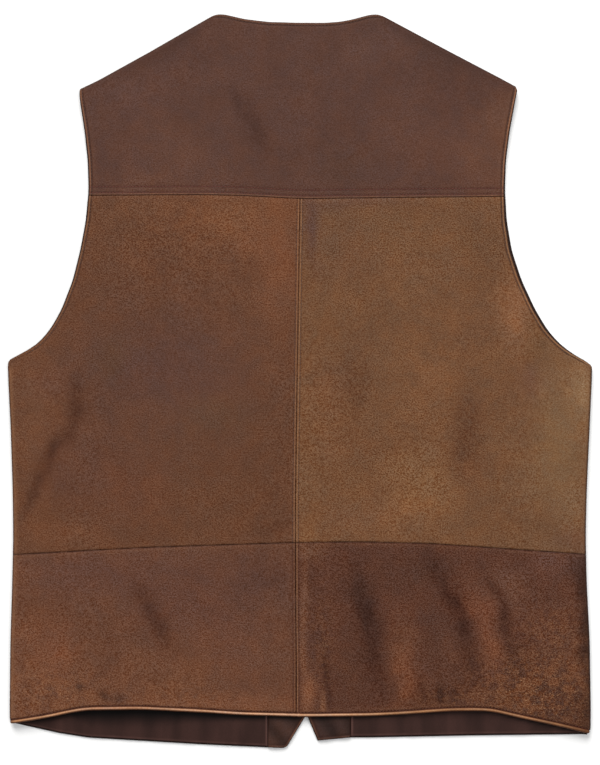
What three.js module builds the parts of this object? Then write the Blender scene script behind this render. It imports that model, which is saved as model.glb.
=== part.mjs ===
// A leather vest laid flat: the back lies on top, the two fronts lie face down under it.
// Millimetres. X runs across the back, Y from hem to neck, Z up from the surface it lies on.
// Left and right are the sides as seen from above, with the neck away from the viewer.

import * as THREE from 'three';

// Walls and the gaps between them
const BACK_LEATHER = 1.4;
const FRONT_LEATHER = 1.2;
const LINING_CLOTH = 1.0;
const FACING_LEATHER = 1.2;
const SEAM_GAP = 0.3;
const LAYER_GAP = 0.3;

// Side and shoulder seams lie on the folded edge, part way up it. A fold fades out over a short way.
const SEAM_HEIGHT = 3.6;
const FOLD_REACH = 6;
const FOLD_STEPS = 4;
const FOLD_FADE = 10;
const FOLD_INSET = 7.5;
const SHOULDER_FOLD_AT_NECK = 0.4;

// The outer face of the back above the surface
const REST_HEIGHT = 5.2;
const LOWEST_BACK = 4.7;
const HIGHEST_BACK = 7.7;
const LIMIT_SHARPNESS = 6;
const SIDE_LOFT = { rise: 2.0, spread: 62, fade: 50 };
const SHOULDER_LOFT = { rise: 1.6, spread: 40, from: 58, fade: 40 };

// Turned edges, seam ditches and the lap of the yoke
const EDGE_REACH = 3;
const EDGE_SHOULDER = 1;
const TURNED_SINK = 0.5;
const SEAM_SINK = 0.7;
const LAP_SINK = 0.1;
const UNDER_LAP_SINK = 0.95;

// The cut of the fronts
const CENTRE_FRONT = 6.2;
const FRONTS_APART = 0.8;
const V_NECK_POINT = 95;
const CUT_AWAY_TOP = -314.2;
const LINING_INSET = 1.0;
const HEM_STRIP = { across: 2.8, deep: 2.2, sides: 6 };

// Widths of the mesh cells
const BACK_STEP = 16.5;
const FRONT_STEP = { across: 42, along: 20 };
const LINING_STEP = { across: 50, along: 26 };

const UNDERARM = 15;
const UNDERARM_TURN = 20.5;

// How far each edge is softened on both sides of a table's rows
const SOFT = { top: 3, yoke: 12, band: 15, hem: 8, centre: 10, frontHem: 5, side: 12, armhole: 4, corner: 1 };
const SOFT_FROM_CORNER = 40;
const SOFT_SAMPLES = [-1, -0.6, -0.2, 0.2, 0.6, 1];

// The side seams, from hem to underarm
const SIDE_EDGE = [
  { y: -335, left: -272.0, right: 273.2 },
  { y: -314, left: -273.4, right: 273.8 },
  { y: -243, left: -272.6, right: 272.7 },
  { y: -187, left: -270.8, right: 269.8 },
  { y: -145, left: -269.9, right: 268.9 },
  { y: -100, left: -270.5, right: 270.0 },
  { y: -45, left: -272.3, right: 272.6 },
  { y: 0, left: -274.5, right: 274.6 },
  { y: UNDERARM, left: -275.0, right: 275.0 },
];

// The armholes, from underarm to shoulder, and how far the fronts show past the back there
const ARMHOLE_EDGE = [
  { y: UNDERARM, left: -275.0, right: 275.0, leftPeek: 0, rightPeek: 0 },
  { y: UNDERARM_TURN, left: -274.0, right: 267.6, leftPeek: 0.2, rightPeek: 0.4 },
  { y: 26.5, left: -263.4, right: 257.2, leftPeek: 0.8, rightPeek: 1.2 },
  { y: 32, left: -253.2, right: 249.6, leftPeek: 1.0, rightPeek: 1.8 },
  { y: 38, left: -245.4, right: 242.8, leftPeek: 1.2, rightPeek: 2.2 },
  { y: 49, left: -235.8, right: 233.2, leftPeek: 1.2, rightPeek: 2.8 },
  { y: 68, left: -224.9, right: 221.8, leftPeek: 1.2, rightPeek: 3.0 },
  { y: 96, left: -214.2, right: 208.8, leftPeek: 1.2, rightPeek: 3.0 },
  { y: 124, left: -207.2, right: 199.6, leftPeek: 1.2, rightPeek: 2.8 },
  { y: 152, left: -202.0, right: 194.9, leftPeek: 1.2, rightPeek: 2.2 },
  { y: 181, left: -199.3, right: 193.2, leftPeek: 1.0, rightPeek: 1.4 },
  { y: 209, left: -200.2, right: 194.2, leftPeek: 1.0, rightPeek: 1.0 },
  { y: 237, left: -203.2, right: 197.8, leftPeek: 0.8, rightPeek: 0.8 },
  { y: 263, left: -207.2, right: 202.6, leftPeek: 0.6, rightPeek: 0.6 },
  { y: 271, left: -208.2, right: 204.2, leftPeek: 0.4, rightPeek: 0.4 },
  { y: 277, left: -207.4, right: 204.8, leftPeek: 0, rightPeek: 0 },
];

// Shoulder seams and the back neck, from the left shoulder to the right one
const TOP_EDGE = [
  { x: -208.0, y: 275.0 },
  { x: -189.0, y: 284.2 },
  { x: -142.0, y: 310.2 },
  { x: -80.5, y: 345.6 },
  { x: -71.5, y: 345.7 },
  { x: -52.0, y: 341.3 },
  { x: -30.0, y: 338.6 },
  { x: 0.0, y: 337.8 },
  { x: 24.0, y: 337.8 },
  { x: 38.0, y: 338.8 },
  { x: 50.0, y: 341.2 },
  { x: 66.0, y: 345.4 },
  { x: 75.5, y: 345.7 },
  { x: 141.0, y: 310.7 },
  { x: 188.0, y: 286.1 },
  { x: 205.0, y: 276.8 },
];
const NECK_POINTS = { left: -80.5, right: 75.5 };

// The seam under the yoke and the seam above the lower bands
const YOKE_SEAM = [
  { x: -205, y: 175.4 },
  { x: -94, y: 176.0 },
  { x: -56, y: 175.3 },
  { x: 0, y: 172.2 },
  { x: 94, y: 173.4 },
  { x: 200, y: 174.4 },
];
const BAND_SEAM = [
  { x: -272, y: -162.6 },
  { x: -141, y: -155.7 },
  { x: 0, y: -151.2 },
  { x: 56, y: -150.5 },
  { x: 122, y: -152.1 },
  { x: 188, y: -156.6 },
  { x: 270, y: -162.2 },
];
const CENTRE_BACK = [
  { y: -325, x: -4.1 },
  { y: -196, x: -4.2 },
  { y: -151, x: -3.6 },
  { y: 134, x: -0.5 },
  { y: 173, x: 0.1 },
];

// The middle of the strip that finishes the back hem
const BACK_HEM = [
  { x: -273, y: -319.6 },
  { x: -259, y: -317.8 },
  { x: -235, y: -313.9 },
  { x: -216, y: -309.4 },
  { x: -200, y: -306.9 },
  { x: -150, y: -306.9 },
  { x: -94, y: -309.9 },
  { x: -56, y: -312.3 },
  { x: 5, y: -313.9 },
  { x: 66, y: -312.5 },
  { x: 141, y: -308.0 },
  { x: 181, y: -308.2 },
  { x: 207, y: -314.9 },
  { x: 245, y: -323.1 },
  { x: 273, y: -329.2 },
];

// The lower edges of the fronts, from the side seam to the front point
const FRONT_HEM = {
  left: [
    { x: -272, y: -321.0 },
    { x: -226, y: -331.2 },
    { x: -199, y: -335.4 },
    { x: -141, y: -338.8 },
    { x: -94, y: -341.6 },
    { x: -30, y: -344.6 },
    { x: -13, y: -345.2 },
  ],
  right: [
    { x: 16.6, y: -338.2 },
    { x: 49, y: -335.2 },
    { x: 66, y: -335.2 },
    { x: 160, y: -333.3 },
    { x: 272, y: -332.0 },
  ],
};

// The inner edges of the fronts: the cut-away point, the straight edge and the V of the neck
const INNER_EDGE = {
  left: [
    { y: -345.2, x: -13.2 },
    { y: CUT_AWAY_TOP, x: CENTRE_FRONT - FRONTS_APART / 2 },
    { y: V_NECK_POINT, x: CENTRE_FRONT - FRONTS_APART / 2 },
    { y: 215, x: -40 },
    { y: 345.3, x: NECK_POINTS.left },
  ],
  right: [
    { y: -338.2, x: 16.6 },
    { y: CUT_AWAY_TOP, x: CENTRE_FRONT + FRONTS_APART / 2 },
    { y: V_NECK_POINT, x: CENTRE_FRONT + FRONTS_APART / 2 },
    { y: 215, x: 45 },
    { y: 345.3, x: NECK_POINTS.right },
  ],
};
const FACING_WIDTH = { left: 36, right: 41 };

// Soft creases of the back: three points along each, its half width, and its depth or rise.
// At its ends a crease keeps this share of that depth.
const CREASE_END = 0.35;
const CREASES = [
  { name: 'left side', x1: -210, y1: -4, x2: -217, y2: -55, x3: -261, y3: -131, wide: 9, rise: -1.5 },
  { name: 'beside it', x1: -192, y1: -14, x2: -199, y2: -62, x3: -238, y3: -118, wide: 13, rise: 0.8 },
  { name: 'yoke', x1: -62, y1: 272, x2: -43, y2: 242, x3: -35, y3: 214, wide: 11, rise: -1.0 },
  { name: 'left band', x1: -156, y1: -184, x2: -141, y2: -216, x3: -124, y3: -250, wide: 9, rise: -1.2 },
  { name: 'left ridge', x1: -133, y1: -190, x2: -121, y2: -218, x3: -104, y3: -246, wide: 10, rise: 0.6 },
  { name: 'right band 1', x1: 53, y1: -190, x2: 61, y2: -234, x3: 72, y3: -296, wide: 9, rise: -1.5 },
  { name: 'right band 2', x1: 122, y1: -166, x2: 151, y2: -218, x3: 166, y3: -280, wide: 10, rise: -1.4 },
  { name: 'right band 3', x1: 184, y1: -192, x2: 200, y2: -232, x3: 210, y3: -266, wide: 8, rise: -1.0 },
  { name: 'right ridge 1', x1: 92, y1: -214, x2: 101, y2: -258, x3: 104, y3: -300, wide: 13, rise: 0.9 },
  { name: 'right ridge 2', x1: 160, y1: -190, x2: 181, y2: -236, x3: 189, y3: -286, wide: 9, rise: 0.8 },
  { name: 'right centre', x1: 155, y1: -12, x2: 159, y2: -46, x3: 149, y3: -98, wide: 14, rise: -1.0 },
  { name: 'right inner', x1: 49, y1: 16, x2: 54, y2: -12, x3: 46, y3: -42, wide: 13, rise: -0.8 },
  { name: 'band seam', x1: -46, y1: -142, x2: -24, y2: -138, x3: -8, y3: -133, wide: 5, rise: -0.6 },
];

// Broad swells of the back
const SWELLS = [
  { name: 'left hem', x: -170, y: -302, wide: 66, long: 46, rise: 1.7 },
  { name: 'right hem', x: 160, y: -302, wide: 48, long: 46, rise: 1.6 },
  { name: 'right armhole', x: 204, y: 66, wide: 26, long: 48, rise: 1.2 },
  { name: 'right centre panel', x: 110, y: -96, wide: 50, long: 70, rise: 0.8 },
  { name: 'left centre panel', x: -110, y: 90, wide: 80, long: 90, rise: 0.7 },
  { name: 'middle of the back', x: -2, y: -40, wide: 34, long: 190, rise: -0.4 },
];

const ROUGHNESS = { leather: 0.62, hemStrip: 0.5, lining: 0.8 };
const COLOURS = {
  yoke: 0x5a4038,
  leftPanel: 0x6f4833,
  rightPanel: 0x75533a,
  leftBand: 0x6a4434,
  rightBand: 0x5e4136,
  hemStrip: 0xb5835a,
  front: 0x5c4236,
  lining: 0x3c2a25,
  facing: 0x432e28,
};

const mix = (a, b, share) => a + (b - a) * share;
const clamp01 = (value) => Math.min(1, Math.max(0, value));
const smooth = (value) => clamp01(value) ** 2 * (3 - 2 * clamp01(value));
const bell = (distance, spread) => Math.exp(-((distance / spread) ** 2));
const roundOver = (share) => Math.sqrt(1 - (1 - clamp01(share)) ** 2);

// Reads a table as a line through its rows, going on straight past both ends.
function lineThrough(rows, from, to, at) {
  let index = 1;
  while (index < rows.length - 1 && rows[index][from] < at) {
    index += 1;
  }
  const before = rows[index - 1];
  const after = rows[index];
  return mix(before[to], after[to], (at - before[from]) / (after[from] - before[from]));
}

// The same line with its corners rounded off over a short reach.
function curveThrough(rows, from, to, at, reach) {
  const total = SOFT_SAMPLES.reduce(
    (sum, share) => sum + lineThrough(rows, from, to, at + share * reach),
    0,
  );
  return total / SOFT_SAMPLES.length;
}

// Edges and seams: x for a height y, or y for a place x
const topEdge = (x) => curveThrough(TOP_EDGE, 'x', 'y', x, SOFT.top);
const yokeSeam = (x) => curveThrough(YOKE_SEAM, 'x', 'y', x, SOFT.yoke);
const bandSeam = (x) => curveThrough(BAND_SEAM, 'x', 'y', x, SOFT.band);
const backHem = (x) => curveThrough(BACK_HEM, 'x', 'y', x, SOFT.hem);
const centreBack = (y) => curveThrough(CENTRE_BACK, 'y', 'x', y, SOFT.centre);
const frontHem = (side) => (x) => curveThrough(FRONT_HEM[side], 'x', 'y', x, SOFT.frontHem);
const innerEdge = (side) => (y) => lineThrough(INNER_EDGE[side], 'y', 'x', y);

function bodyEdge(side) {
  return (y) => {
    const fromCorner = smooth(Math.abs(y - UNDERARM) / SOFT_FROM_CORNER);
    if (y < UNDERARM) {
      return curveThrough(SIDE_EDGE, 'y', side, y, SOFT.side * fromCorner);
    }
    return curveThrough(ARMHOLE_EDGE, 'y', side, y, SOFT.corner + SOFT.armhole * fromCorner);
  };
}

// The back's own edge lies inside the fronts' edge at the armholes.
function backEdge(side) {
  const outward = side === 'left' ? -1 : 1;
  const edge = bodyEdge(side);
  return (y) => {
    const peek = y < UNDERARM ? 0 : lineThrough(ARMHOLE_EDGE, 'y', `${side}Peek`, y);
    return edge(y) - outward * peek;
  };
}

// The facing's seam runs beside the straight edge and the neck, and straight down past the point.
function facingSeam(side) {
  const inward = side === 'left' ? -1 : 1;
  return (y) => innerEdge(side)(Math.max(y, CUT_AWAY_TOP)) + inward * FACING_WIDTH[side];
}

// How far a bent crease lifts or sinks the leather at a point. It fades towards both its ends.
function creaseRise(crease, x, y) {
  const corners = [[crease.x1, crease.y1], [crease.x2, crease.y2], [crease.x3, crease.y3]];
  let nearest = Infinity;
  let along = 0;
  for (let part = 0; part < 2; part += 1) {
    const [ax, ay] = corners[part];
    const [bx, by] = corners[part + 1];
    const length2 = (bx - ax) ** 2 + (by - ay) ** 2;
    const share = clamp01(((x - ax) * (bx - ax) + (y - ay) * (by - ay)) / length2);
    const distance = Math.hypot(x - mix(ax, bx, share), y - mix(ay, by, share));
    if (distance < nearest) {
      nearest = distance;
      along = (part + share) / 2;
    }
  }
  const fullness = mix(CREASE_END, 1, Math.sin(Math.PI * along));
  return crease.rise * fullness * bell(nearest, crease.wide);
}

// How high the back's outer face lies, before its edges fold down.
function backHeight(x, y) {
  const side = x < 0 ? 'left' : 'right';
  const toSide = Math.abs(bodyEdge(side)(Math.min(y, UNDERARM)) - x);
  const belowArmhole = smooth((UNDERARM + FOLD_FADE - y) / SIDE_LOFT.fade);
  const toShoulder = Math.max(0, topEdge(x) - y);
  const onShoulder = smooth((Math.abs(x) - SHOULDER_LOFT.from) / SHOULDER_LOFT.fade);
  let z = REST_HEIGHT;
  z += SIDE_LOFT.rise * belowArmhole * bell(toSide, SIDE_LOFT.spread);
  z += SHOULDER_LOFT.rise * onShoulder * bell(toShoulder, SHOULDER_LOFT.spread);
  for (const swell of SWELLS) {
    z += swell.rise * bell(Math.hypot((x - swell.x) / swell.wide, (y - swell.y) / swell.long), 1);
  }
  for (const crease of CREASES) {
    z += creaseRise(crease, x, y);
  }
  return softLimit(z, LOWEST_BACK, HIGHEST_BACK);
}

// Keeps a height between two limits, bending softly near each.
function softLimit(value, low, high) {
  const middle = (low + high) / 2;
  const half = (high - low) / 2;
  const share = (value - middle) / half;
  return middle + (half * share) / (1 + Math.abs(share) ** LIMIT_SHARPNESS) ** (1 / LIMIT_SHARPNESS);
}

// Where an upright edge and a crossing edge meet: each try starts from the last one's height.
const MEETING_TRIES = 24;
function meetingPoint(upright, crossing) {
  let y = crossing(upright(0));
  for (let tried = 0; tried < MEETING_TRIES; tried += 1) {
    y = crossing(upright(y));
  }
  return { x: upright(y), y };
}

// A surface spread between four edges: u runs from left to right, v from bottom to top.
function spread(outline) {
  const { left, right, bottom, top } = outline;
  const bottomLeft = meetingPoint(left, bottom);
  const bottomRight = meetingPoint(right, bottom);
  const topLeft = meetingPoint(left, top);
  const topRight = meetingPoint(right, top);
  return (u, v) => {
    const bottomX = mix(bottomLeft.x, bottomRight.x, u);
    const topX = mix(topLeft.x, topRight.x, u);
    const leftY = mix(bottomLeft.y, topLeft.y, v);
    const rightY = mix(bottomRight.y, topRight.y, v);
    const cornersX = mix(bottomX, topX, v);
    const cornersY = mix(leftY, rightY, u);
    return {
      x: mix(left(leftY), right(rightY), u) + mix(bottomX, topX, v) - cornersX,
      y: mix(bottom(bottomX), top(topX), v) + mix(leftY, rightY, u) - cornersY,
    };
  };
}

// Shares of a length: close steps in the band at each end, even steps between, moved onto the knots.
function shares(length, startBand, endBand, evenSteps, knots) {
  const first = startBand.at(-1);
  const last = length - endBand.at(-1);
  const places = [...startBand];
  for (let step = 1; step < evenSteps; step += 1) {
    places.push(mix(first, last, step / evenSteps));
  }
  places.push(...endBand.map((distance) => length - distance).reverse());
  const result = places.map((place) => place / length);
  for (const knot of knots) {
    let nearest = startBand.length;
    result.forEach((share, index) => {
      if (Math.abs(share - knot) < Math.abs(result[nearest] - knot)) {
        nearest = index;
      }
    });
    result[nearest] = knot;
  }
  return result;
}

const gap2d = (a, b) => Math.hypot(a.x - b.x, a.y - b.y);

// Lays a net of points over a surface, with each point's distance to the four edges.
function layNet(surface, edges, step, knots) {
  const widthAt = (v) => gap2d(surface(0, v), surface(1, v));
  const heightAt = (u) => gap2d(surface(u, 0), surface(u, 1));
  const across = Math.max(1, Math.round(Math.max(widthAt(0), widthAt(0.5), widthAt(1)) / step.across));
  const along = Math.max(1, Math.round(Math.max(heightAt(0), heightAt(0.5), heightAt(1)) / step.along));
  const level = shares(heightAt(0.5), edges.bottom.band, edges.top.band, along, knots.v);
  return level.map((nominalV, row) => {
    const columns = shares(widthAt(nominalV), edges.left.band, edges.right.band, across, knots.u);
    return columns.map((u) => {
      const v = shares(heightAt(u), edges.bottom.band, edges.top.band, along, knots.v)[row];
      return {
        ...surface(u, v),
        left: u * widthAt(v),
        right: (1 - u) * widthAt(v),
        bottom: v * heightAt(u),
        top: (1 - v) * heightAt(u),
      };
    });
  });
}

// Kinds of edge. A fold rounds over to the seam on the folded edge; the others are cut square.
const NO_BAND = [0];
const EDGE_BAND = [0, EDGE_SHOULDER, EDGE_REACH];
const FOLD_BAND = Array.from({ length: FOLD_STEPS + 1 }, (_, step) => (
  FOLD_REACH * (1 - Math.cos((step / FOLD_STEPS) * (Math.PI / 2)))
));
const neverFolds = () => 0;
const sideFolds = (x, y) => smooth((UNDERARM + FOLD_FADE - y) / FOLD_FADE);
const shoulderFolds = (x) => {
  const pastNeck = Math.max(NECK_POINTS.left - x, x - NECK_POINTS.right);
  return smooth(pastNeck / FOLD_FADE + SHOULDER_FOLD_AT_NECK);
};
const SIDE = { band: FOLD_BAND, folds: sideFolds, sink: TURNED_SINK };
const ARMHOLE = { band: EDGE_BAND, folds: neverFolds, sink: TURNED_SINK };
const SHOULDER = { band: FOLD_BAND, folds: shoulderFolds, sink: TURNED_SINK };
const SEAM = { band: EDGE_BAND, folds: neverFolds, sink: SEAM_SINK };
const LAP = { band: EDGE_BAND, folds: neverFolds, sink: LAP_SINK };
const UNDER_LAP = { band: EDGE_BAND, folds: neverFolds, sink: UNDER_LAP_SINK };
const CUT = { band: NO_BAND, folds: neverFolds, sink: 0 };
const EDGE_NAMES = ['left', 'right', 'bottom', 'top'];

// How much of a point's height is left where edges near it fold over to the seam.
function foldShare(point, edges) {
  return EDGE_NAMES.reduce((share, name) => {
    const weight = edges[name].folds(point.x, point.y);
    return share * (1 - weight * (1 - roundOver(point[name] / FOLD_REACH)));
  }, 1);
}

// Upward normals of a net. At a folded edge they lie level, so the wall ends square to the seam.
const ON_EDGE = 0.001;
function netNormals(net, edges) {
  const toVector = (point) => new THREE.Vector3(point.x, point.y, point.z);
  return net.map((row, rowIndex) => row.map((point, columnIndex) => {
    const before = toVector(row[Math.max(0, columnIndex - 1)]);
    const after = toVector(row[Math.min(row.length - 1, columnIndex + 1)]);
    const below = toVector(net[Math.max(0, rowIndex - 1)][columnIndex]);
    const above = toVector(net[Math.min(net.length - 1, rowIndex + 1)][columnIndex]);
    const normal = after.sub(before).cross(above.sub(below)).normalize();
    for (const name of EDGE_NAMES) {
      if (point[name] < ON_EDGE) {
        normal.z *= 1 - edges[name].folds(point.x, point.y);
      }
    }
    return normal.normalize();
  }));
}

const moved = (point, normal, distance) => ({
  x: point.x + normal.x * distance,
  y: point.y + normal.y * distance,
  z: point.z + normal.z * distance,
});

// A closed wall between an upper and a lower net of the same size.
function wallGeometry(upper, lower) {
  const rows = upper.length;
  const columns = upper[0].length;
  const corner = (layer, row, column) => (layer * rows + row) * columns + column;
  const positions = [...upper.flat(), ...lower.flat()].flatMap((point) => [point.x, point.y, point.z]);
  const faces = [];
  const quad = (a, b, c, d) => faces.push(a, b, c, a, c, d);
  for (let row = 0; row < rows - 1; row += 1) {
    for (let column = 0; column < columns - 1; column += 1) {
      const near = [corner(0, row, column), corner(0, row, column + 1)];
      const far = [corner(0, row + 1, column), corner(0, row + 1, column + 1)];
      quad(near[0], near[1], far[1], far[0]);
      const under = rows * columns;
      quad(near[0] + under, far[0] + under, far[1] + under, near[1] + under);
    }
  }
  for (let column = 0; column < columns - 1; column += 1) {
    const end = rows - 1;
    quad(corner(1, 0, column), corner(1, 0, column + 1), corner(0, 0, column + 1), corner(0, 0, column));
    const next = column + 1;
    quad(corner(0, end, column), corner(0, end, next), corner(1, end, next), corner(1, end, column));
  }
  for (let row = 0; row < rows - 1; row += 1) {
    const end = columns - 1;
    quad(corner(0, row, 0), corner(0, row + 1, 0), corner(1, row + 1, 0), corner(1, row, 0));
    quad(corner(1, row, end), corner(1, row + 1, end), corner(0, row + 1, end), corner(0, row, end));
  }
  const geometry = new THREE.BufferGeometry();
  geometry.setAttribute('position', new THREE.Float32BufferAttribute(positions, 3));
  geometry.setIndex(faces);
  geometry.computeVertexNormals();
  return geometry;
}

const vest = new THREE.Group();

function addPiece(name, geometry, color, roughness) {
  const material = new THREE.MeshStandardMaterial({ color, roughness, metalness: 0 });
  const mesh = new THREE.Mesh(geometry, material);
  mesh.name = name;
  vest.add(mesh);
}

// The net of a back panel's outer form, folded down at its side and shoulder edges.
function backNet(outline, edges, knots) {
  const net = layNet(spread(outline), edges, { across: BACK_STEP, along: BACK_STEP }, knots);
  const seamLevel = SEAM_HEIGHT + SEAM_GAP / 2;
  return net.map((row) => row.map((point) => {
    const height = backHeight(point.x, point.y);
    return { ...point, z: mix(seamLevel, height, foldShare(point, edges)) };
  }));
}

function addBackPanel(name, net, edges, color) {
  const normals = netNormals(net, edges);
  const sinkAt = (point) => Math.max(...EDGE_NAMES.map((edge) => (
    edges[edge].sink * (1 - roundOver(point[edge] / EDGE_REACH))
  )));
  const outer = net.map((row, i) => row.map((point, j) => moved(point, normals[i][j], -sinkAt(point))));
  const inner = net.map((row, i) => row.map((point, j) => moved(point, normals[i][j], -BACK_LEATHER)));
  addPiece(name, wallGeometry(outer, inner), color, ROUGHNESS.leather);
}

// Puts an outer and an inner edge on the left and right for either side of the body.
function bySide(side, outer, inner) {
  return side === 'left' ? { left: outer, right: inner } : { left: inner, right: outer };
}

function centreSeam(side) {
  const shift = side === 'left' ? -SEAM_GAP / 2 : SEAM_GAP / 2;
  return (y) => centreBack(y) + shift;
}

// The shares of an upright edge at which the side seam ends and the armhole begins.
function underarmShares(edge, bottom, top) {
  const low = meetingPoint(edge, bottom).y;
  const high = meetingPoint(edge, top).y;
  return [UNDERARM, UNDERARM_TURN].map((y) => (y - low) / (high - low));
}

function buildYoke() {
  const outline = {
    left: backEdge('left'),
    right: backEdge('right'),
    bottom: (x) => yokeSeam(x) + SEAM_GAP / 2,
    top: topEdge,
  };
  const edges = { left: ARMHOLE, right: ARMHOLE, bottom: LAP, top: SHOULDER };
  const leftTip = meetingPoint(outline.left, topEdge).x;
  const rightTip = meetingPoint(outline.right, topEdge).x;
  const shareOf = (x) => (x - leftTip) / (rightTip - leftTip);
  const knots = { u: [shareOf(NECK_POINTS.left), shareOf(NECK_POINTS.right)], v: [] };
  addBackPanel('back_yoke', backNet(outline, edges, knots), edges, COLOURS.yoke);
}

function buildCentrePanel(side, color) {
  const bottom = (x) => bandSeam(x) + SEAM_GAP / 2;
  const top = (x) => yokeSeam(x) - SEAM_GAP / 2;
  const outline = { ...bySide(side, backEdge(side), centreSeam(side)), bottom, top };
  const edges = { ...bySide(side, SIDE, SEAM), bottom: SEAM, top: UNDER_LAP };
  const knots = { u: [], v: underarmShares(backEdge(side), bottom, top) };
  addBackPanel(`back_${side}`, backNet(outline, edges, knots), edges, color);
}

// Returns the band's lower edge, which carries the hem strip.
function buildBand(side, color) {
  const bottom = (x) => backHem(x) + HEM_STRIP.across / 2 + SEAM_GAP;
  const top = (x) => bandSeam(x) - SEAM_GAP / 2;
  const outline = { ...bySide(side, backEdge(side), centreSeam(side)), bottom, top };
  const edges = { ...bySide(side, SIDE, SEAM), bottom: SEAM, top: SEAM };
  const net = backNet(outline, edges, { u: [], v: [] });
  addBackPanel(`back_band_${side}`, net, edges, color);
  const normals = netNormals(net, edges);
  return net[0].map((point, index) => ({ point, normal: normals[0][index] }));
}

// A strip of rounded section that follows the lower edge of both bands.
function buildHemStrip(edgePoints, color) {
  const { across, deep, sides } = HEM_STRIP;
  const downHem = new THREE.Vector3(0, -1, 0);
  const rings = edgePoints.map(({ point, normal }) => {
    const middle = new THREE.Vector3(point.x, point.y, point.z)
      .addScaledVector(normal, -BACK_LEATHER / 2)
      .addScaledVector(downHem, across / 2 + SEAM_GAP);
    return Array.from({ length: sides }, (_, index) => {
      const turn = ((index + 0.5) / sides) * 2 * Math.PI;
      return middle.clone()
        .addScaledVector(downHem, (across / 2) * Math.cos(turn))
        .addScaledVector(normal, (deep / 2) * Math.sin(turn));
    });
  });
  const positions = rings.flat().flatMap((point) => [point.x, point.y, point.z]);
  const faces = [];
  const last = rings.length - 1;
  for (let ring = 0; ring < last; ring += 1) {
    for (let index = 0; index < sides; index += 1) {
      const next = (index + 1) % sides;
      const a = ring * sides + index;
      const b = ring * sides + next;
      faces.push(a, b + sides, b, a, a + sides, b + sides);
    }
  }
  for (let index = 1; index < sides - 1; index += 1) {
    faces.push(0, index, index + 1);
    faces.push(last * sides, last * sides + index + 1, last * sides + index);
  }
  const geometry = new THREE.BufferGeometry();
  geometry.setAttribute('position', new THREE.Float32BufferAttribute(positions, 3));
  geometry.setIndex(faces);
  geometry.computeVertexNormals();
  addPiece('hem_binding', geometry, color, ROUGHNESS.hemStrip);
}

// A front lies on its outer face, level with the surface, and turns up to the seams at its folds.
function buildFront(side) {
  const outline = {
    ...bySide(side, bodyEdge(side), innerEdge(side)),
    bottom: frontHem(side),
    top: topEdge,
  };
  const edges = { ...bySide(side, SIDE, CUT), bottom: CUT, top: SHOULDER };
  const knots = { u: [], v: underarmShares(bodyEdge(side), frontHem(side), topEdge) };
  const seamLevel = SEAM_HEIGHT - SEAM_GAP / 2;
  const under = layNet(spread(outline), edges, FRONT_STEP, knots).map((row) => row.map((point) => (
    { ...point, z: seamLevel * (1 - foldShare(point, edges)) }
  )));
  const normals = netNormals(under, edges);
  const upper = under.map((row, i) => row.map((point, j) => moved(point, normals[i][j], FRONT_LEATHER)));
  addPiece(`front_${side}`, wallGeometry(upper, under), COLOURS.front, ROUGHNESS.leather);
}

// A level layer that lies on a front.
function addLayer(name, outline, step, thickness, color) {
  const edges = { left: CUT, right: CUT, bottom: CUT, top: CUT };
  const net = layNet(spread(outline), edges, step, { u: [], v: [] });
  const bottomZ = FRONT_LEATHER + LAYER_GAP;
  const atHeight = (z) => net.map((row) => row.map((point) => ({ ...point, z })));
  addPiece(name, wallGeometry(atHeight(bottomZ + thickness), atHeight(bottomZ)), color, ROUGHNESS.lining);
}

// The lining stops short of the folds; the facing runs inside the front's inner edge.
function buildInside(side) {
  const outward = side === 'left' ? -1 : 1;
  const bottom = (x) => frontHem(side)(x) + LINING_INSET;
  const top = (x) => topEdge(x) - FOLD_INSET;
  const outer = (y) => {
    const inset = mix(LINING_INSET * 2, FOLD_INSET, sideFolds(0, y - FOLD_FADE));
    return bodyEdge(side)(y) - outward * inset;
  };
  const seam = (shift) => (y) => facingSeam(side)(y) + outward * shift;
  const inner = (y) => innerEdge(side)(y) + outward * LINING_INSET;
  const lining = { ...bySide(side, outer, seam(SEAM_GAP / 2)), bottom, top };
  const facing = { ...bySide(side, seam(-SEAM_GAP / 2), inner), bottom, top };
  addLayer(`front_lining_${side}`, lining, LINING_STEP, LINING_CLOTH, COLOURS.lining);
  addLayer(`front_facing_${side}`, facing, LINING_STEP, FACING_LEATHER, COLOURS.facing);
}

buildYoke();
buildCentrePanel('left', COLOURS.leftPanel);
buildCentrePanel('right', COLOURS.rightPanel);
const leftHem = buildBand('left', COLOURS.leftBand);
const rightHem = buildBand('right', COLOURS.rightBand);
buildHemStrip([...leftHem, ...rightHem], COLOURS.hemStrip);
for (const side of ['left', 'right']) {
  buildFront(side);
  buildInside(side);
}

export default vest;
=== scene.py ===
"""A leather vest laid flat with its back up, dressed over its solids.

Tables and lengths are in millimetres, as the garment is measured. make_piece turns them into metres.
"""
import math

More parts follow.
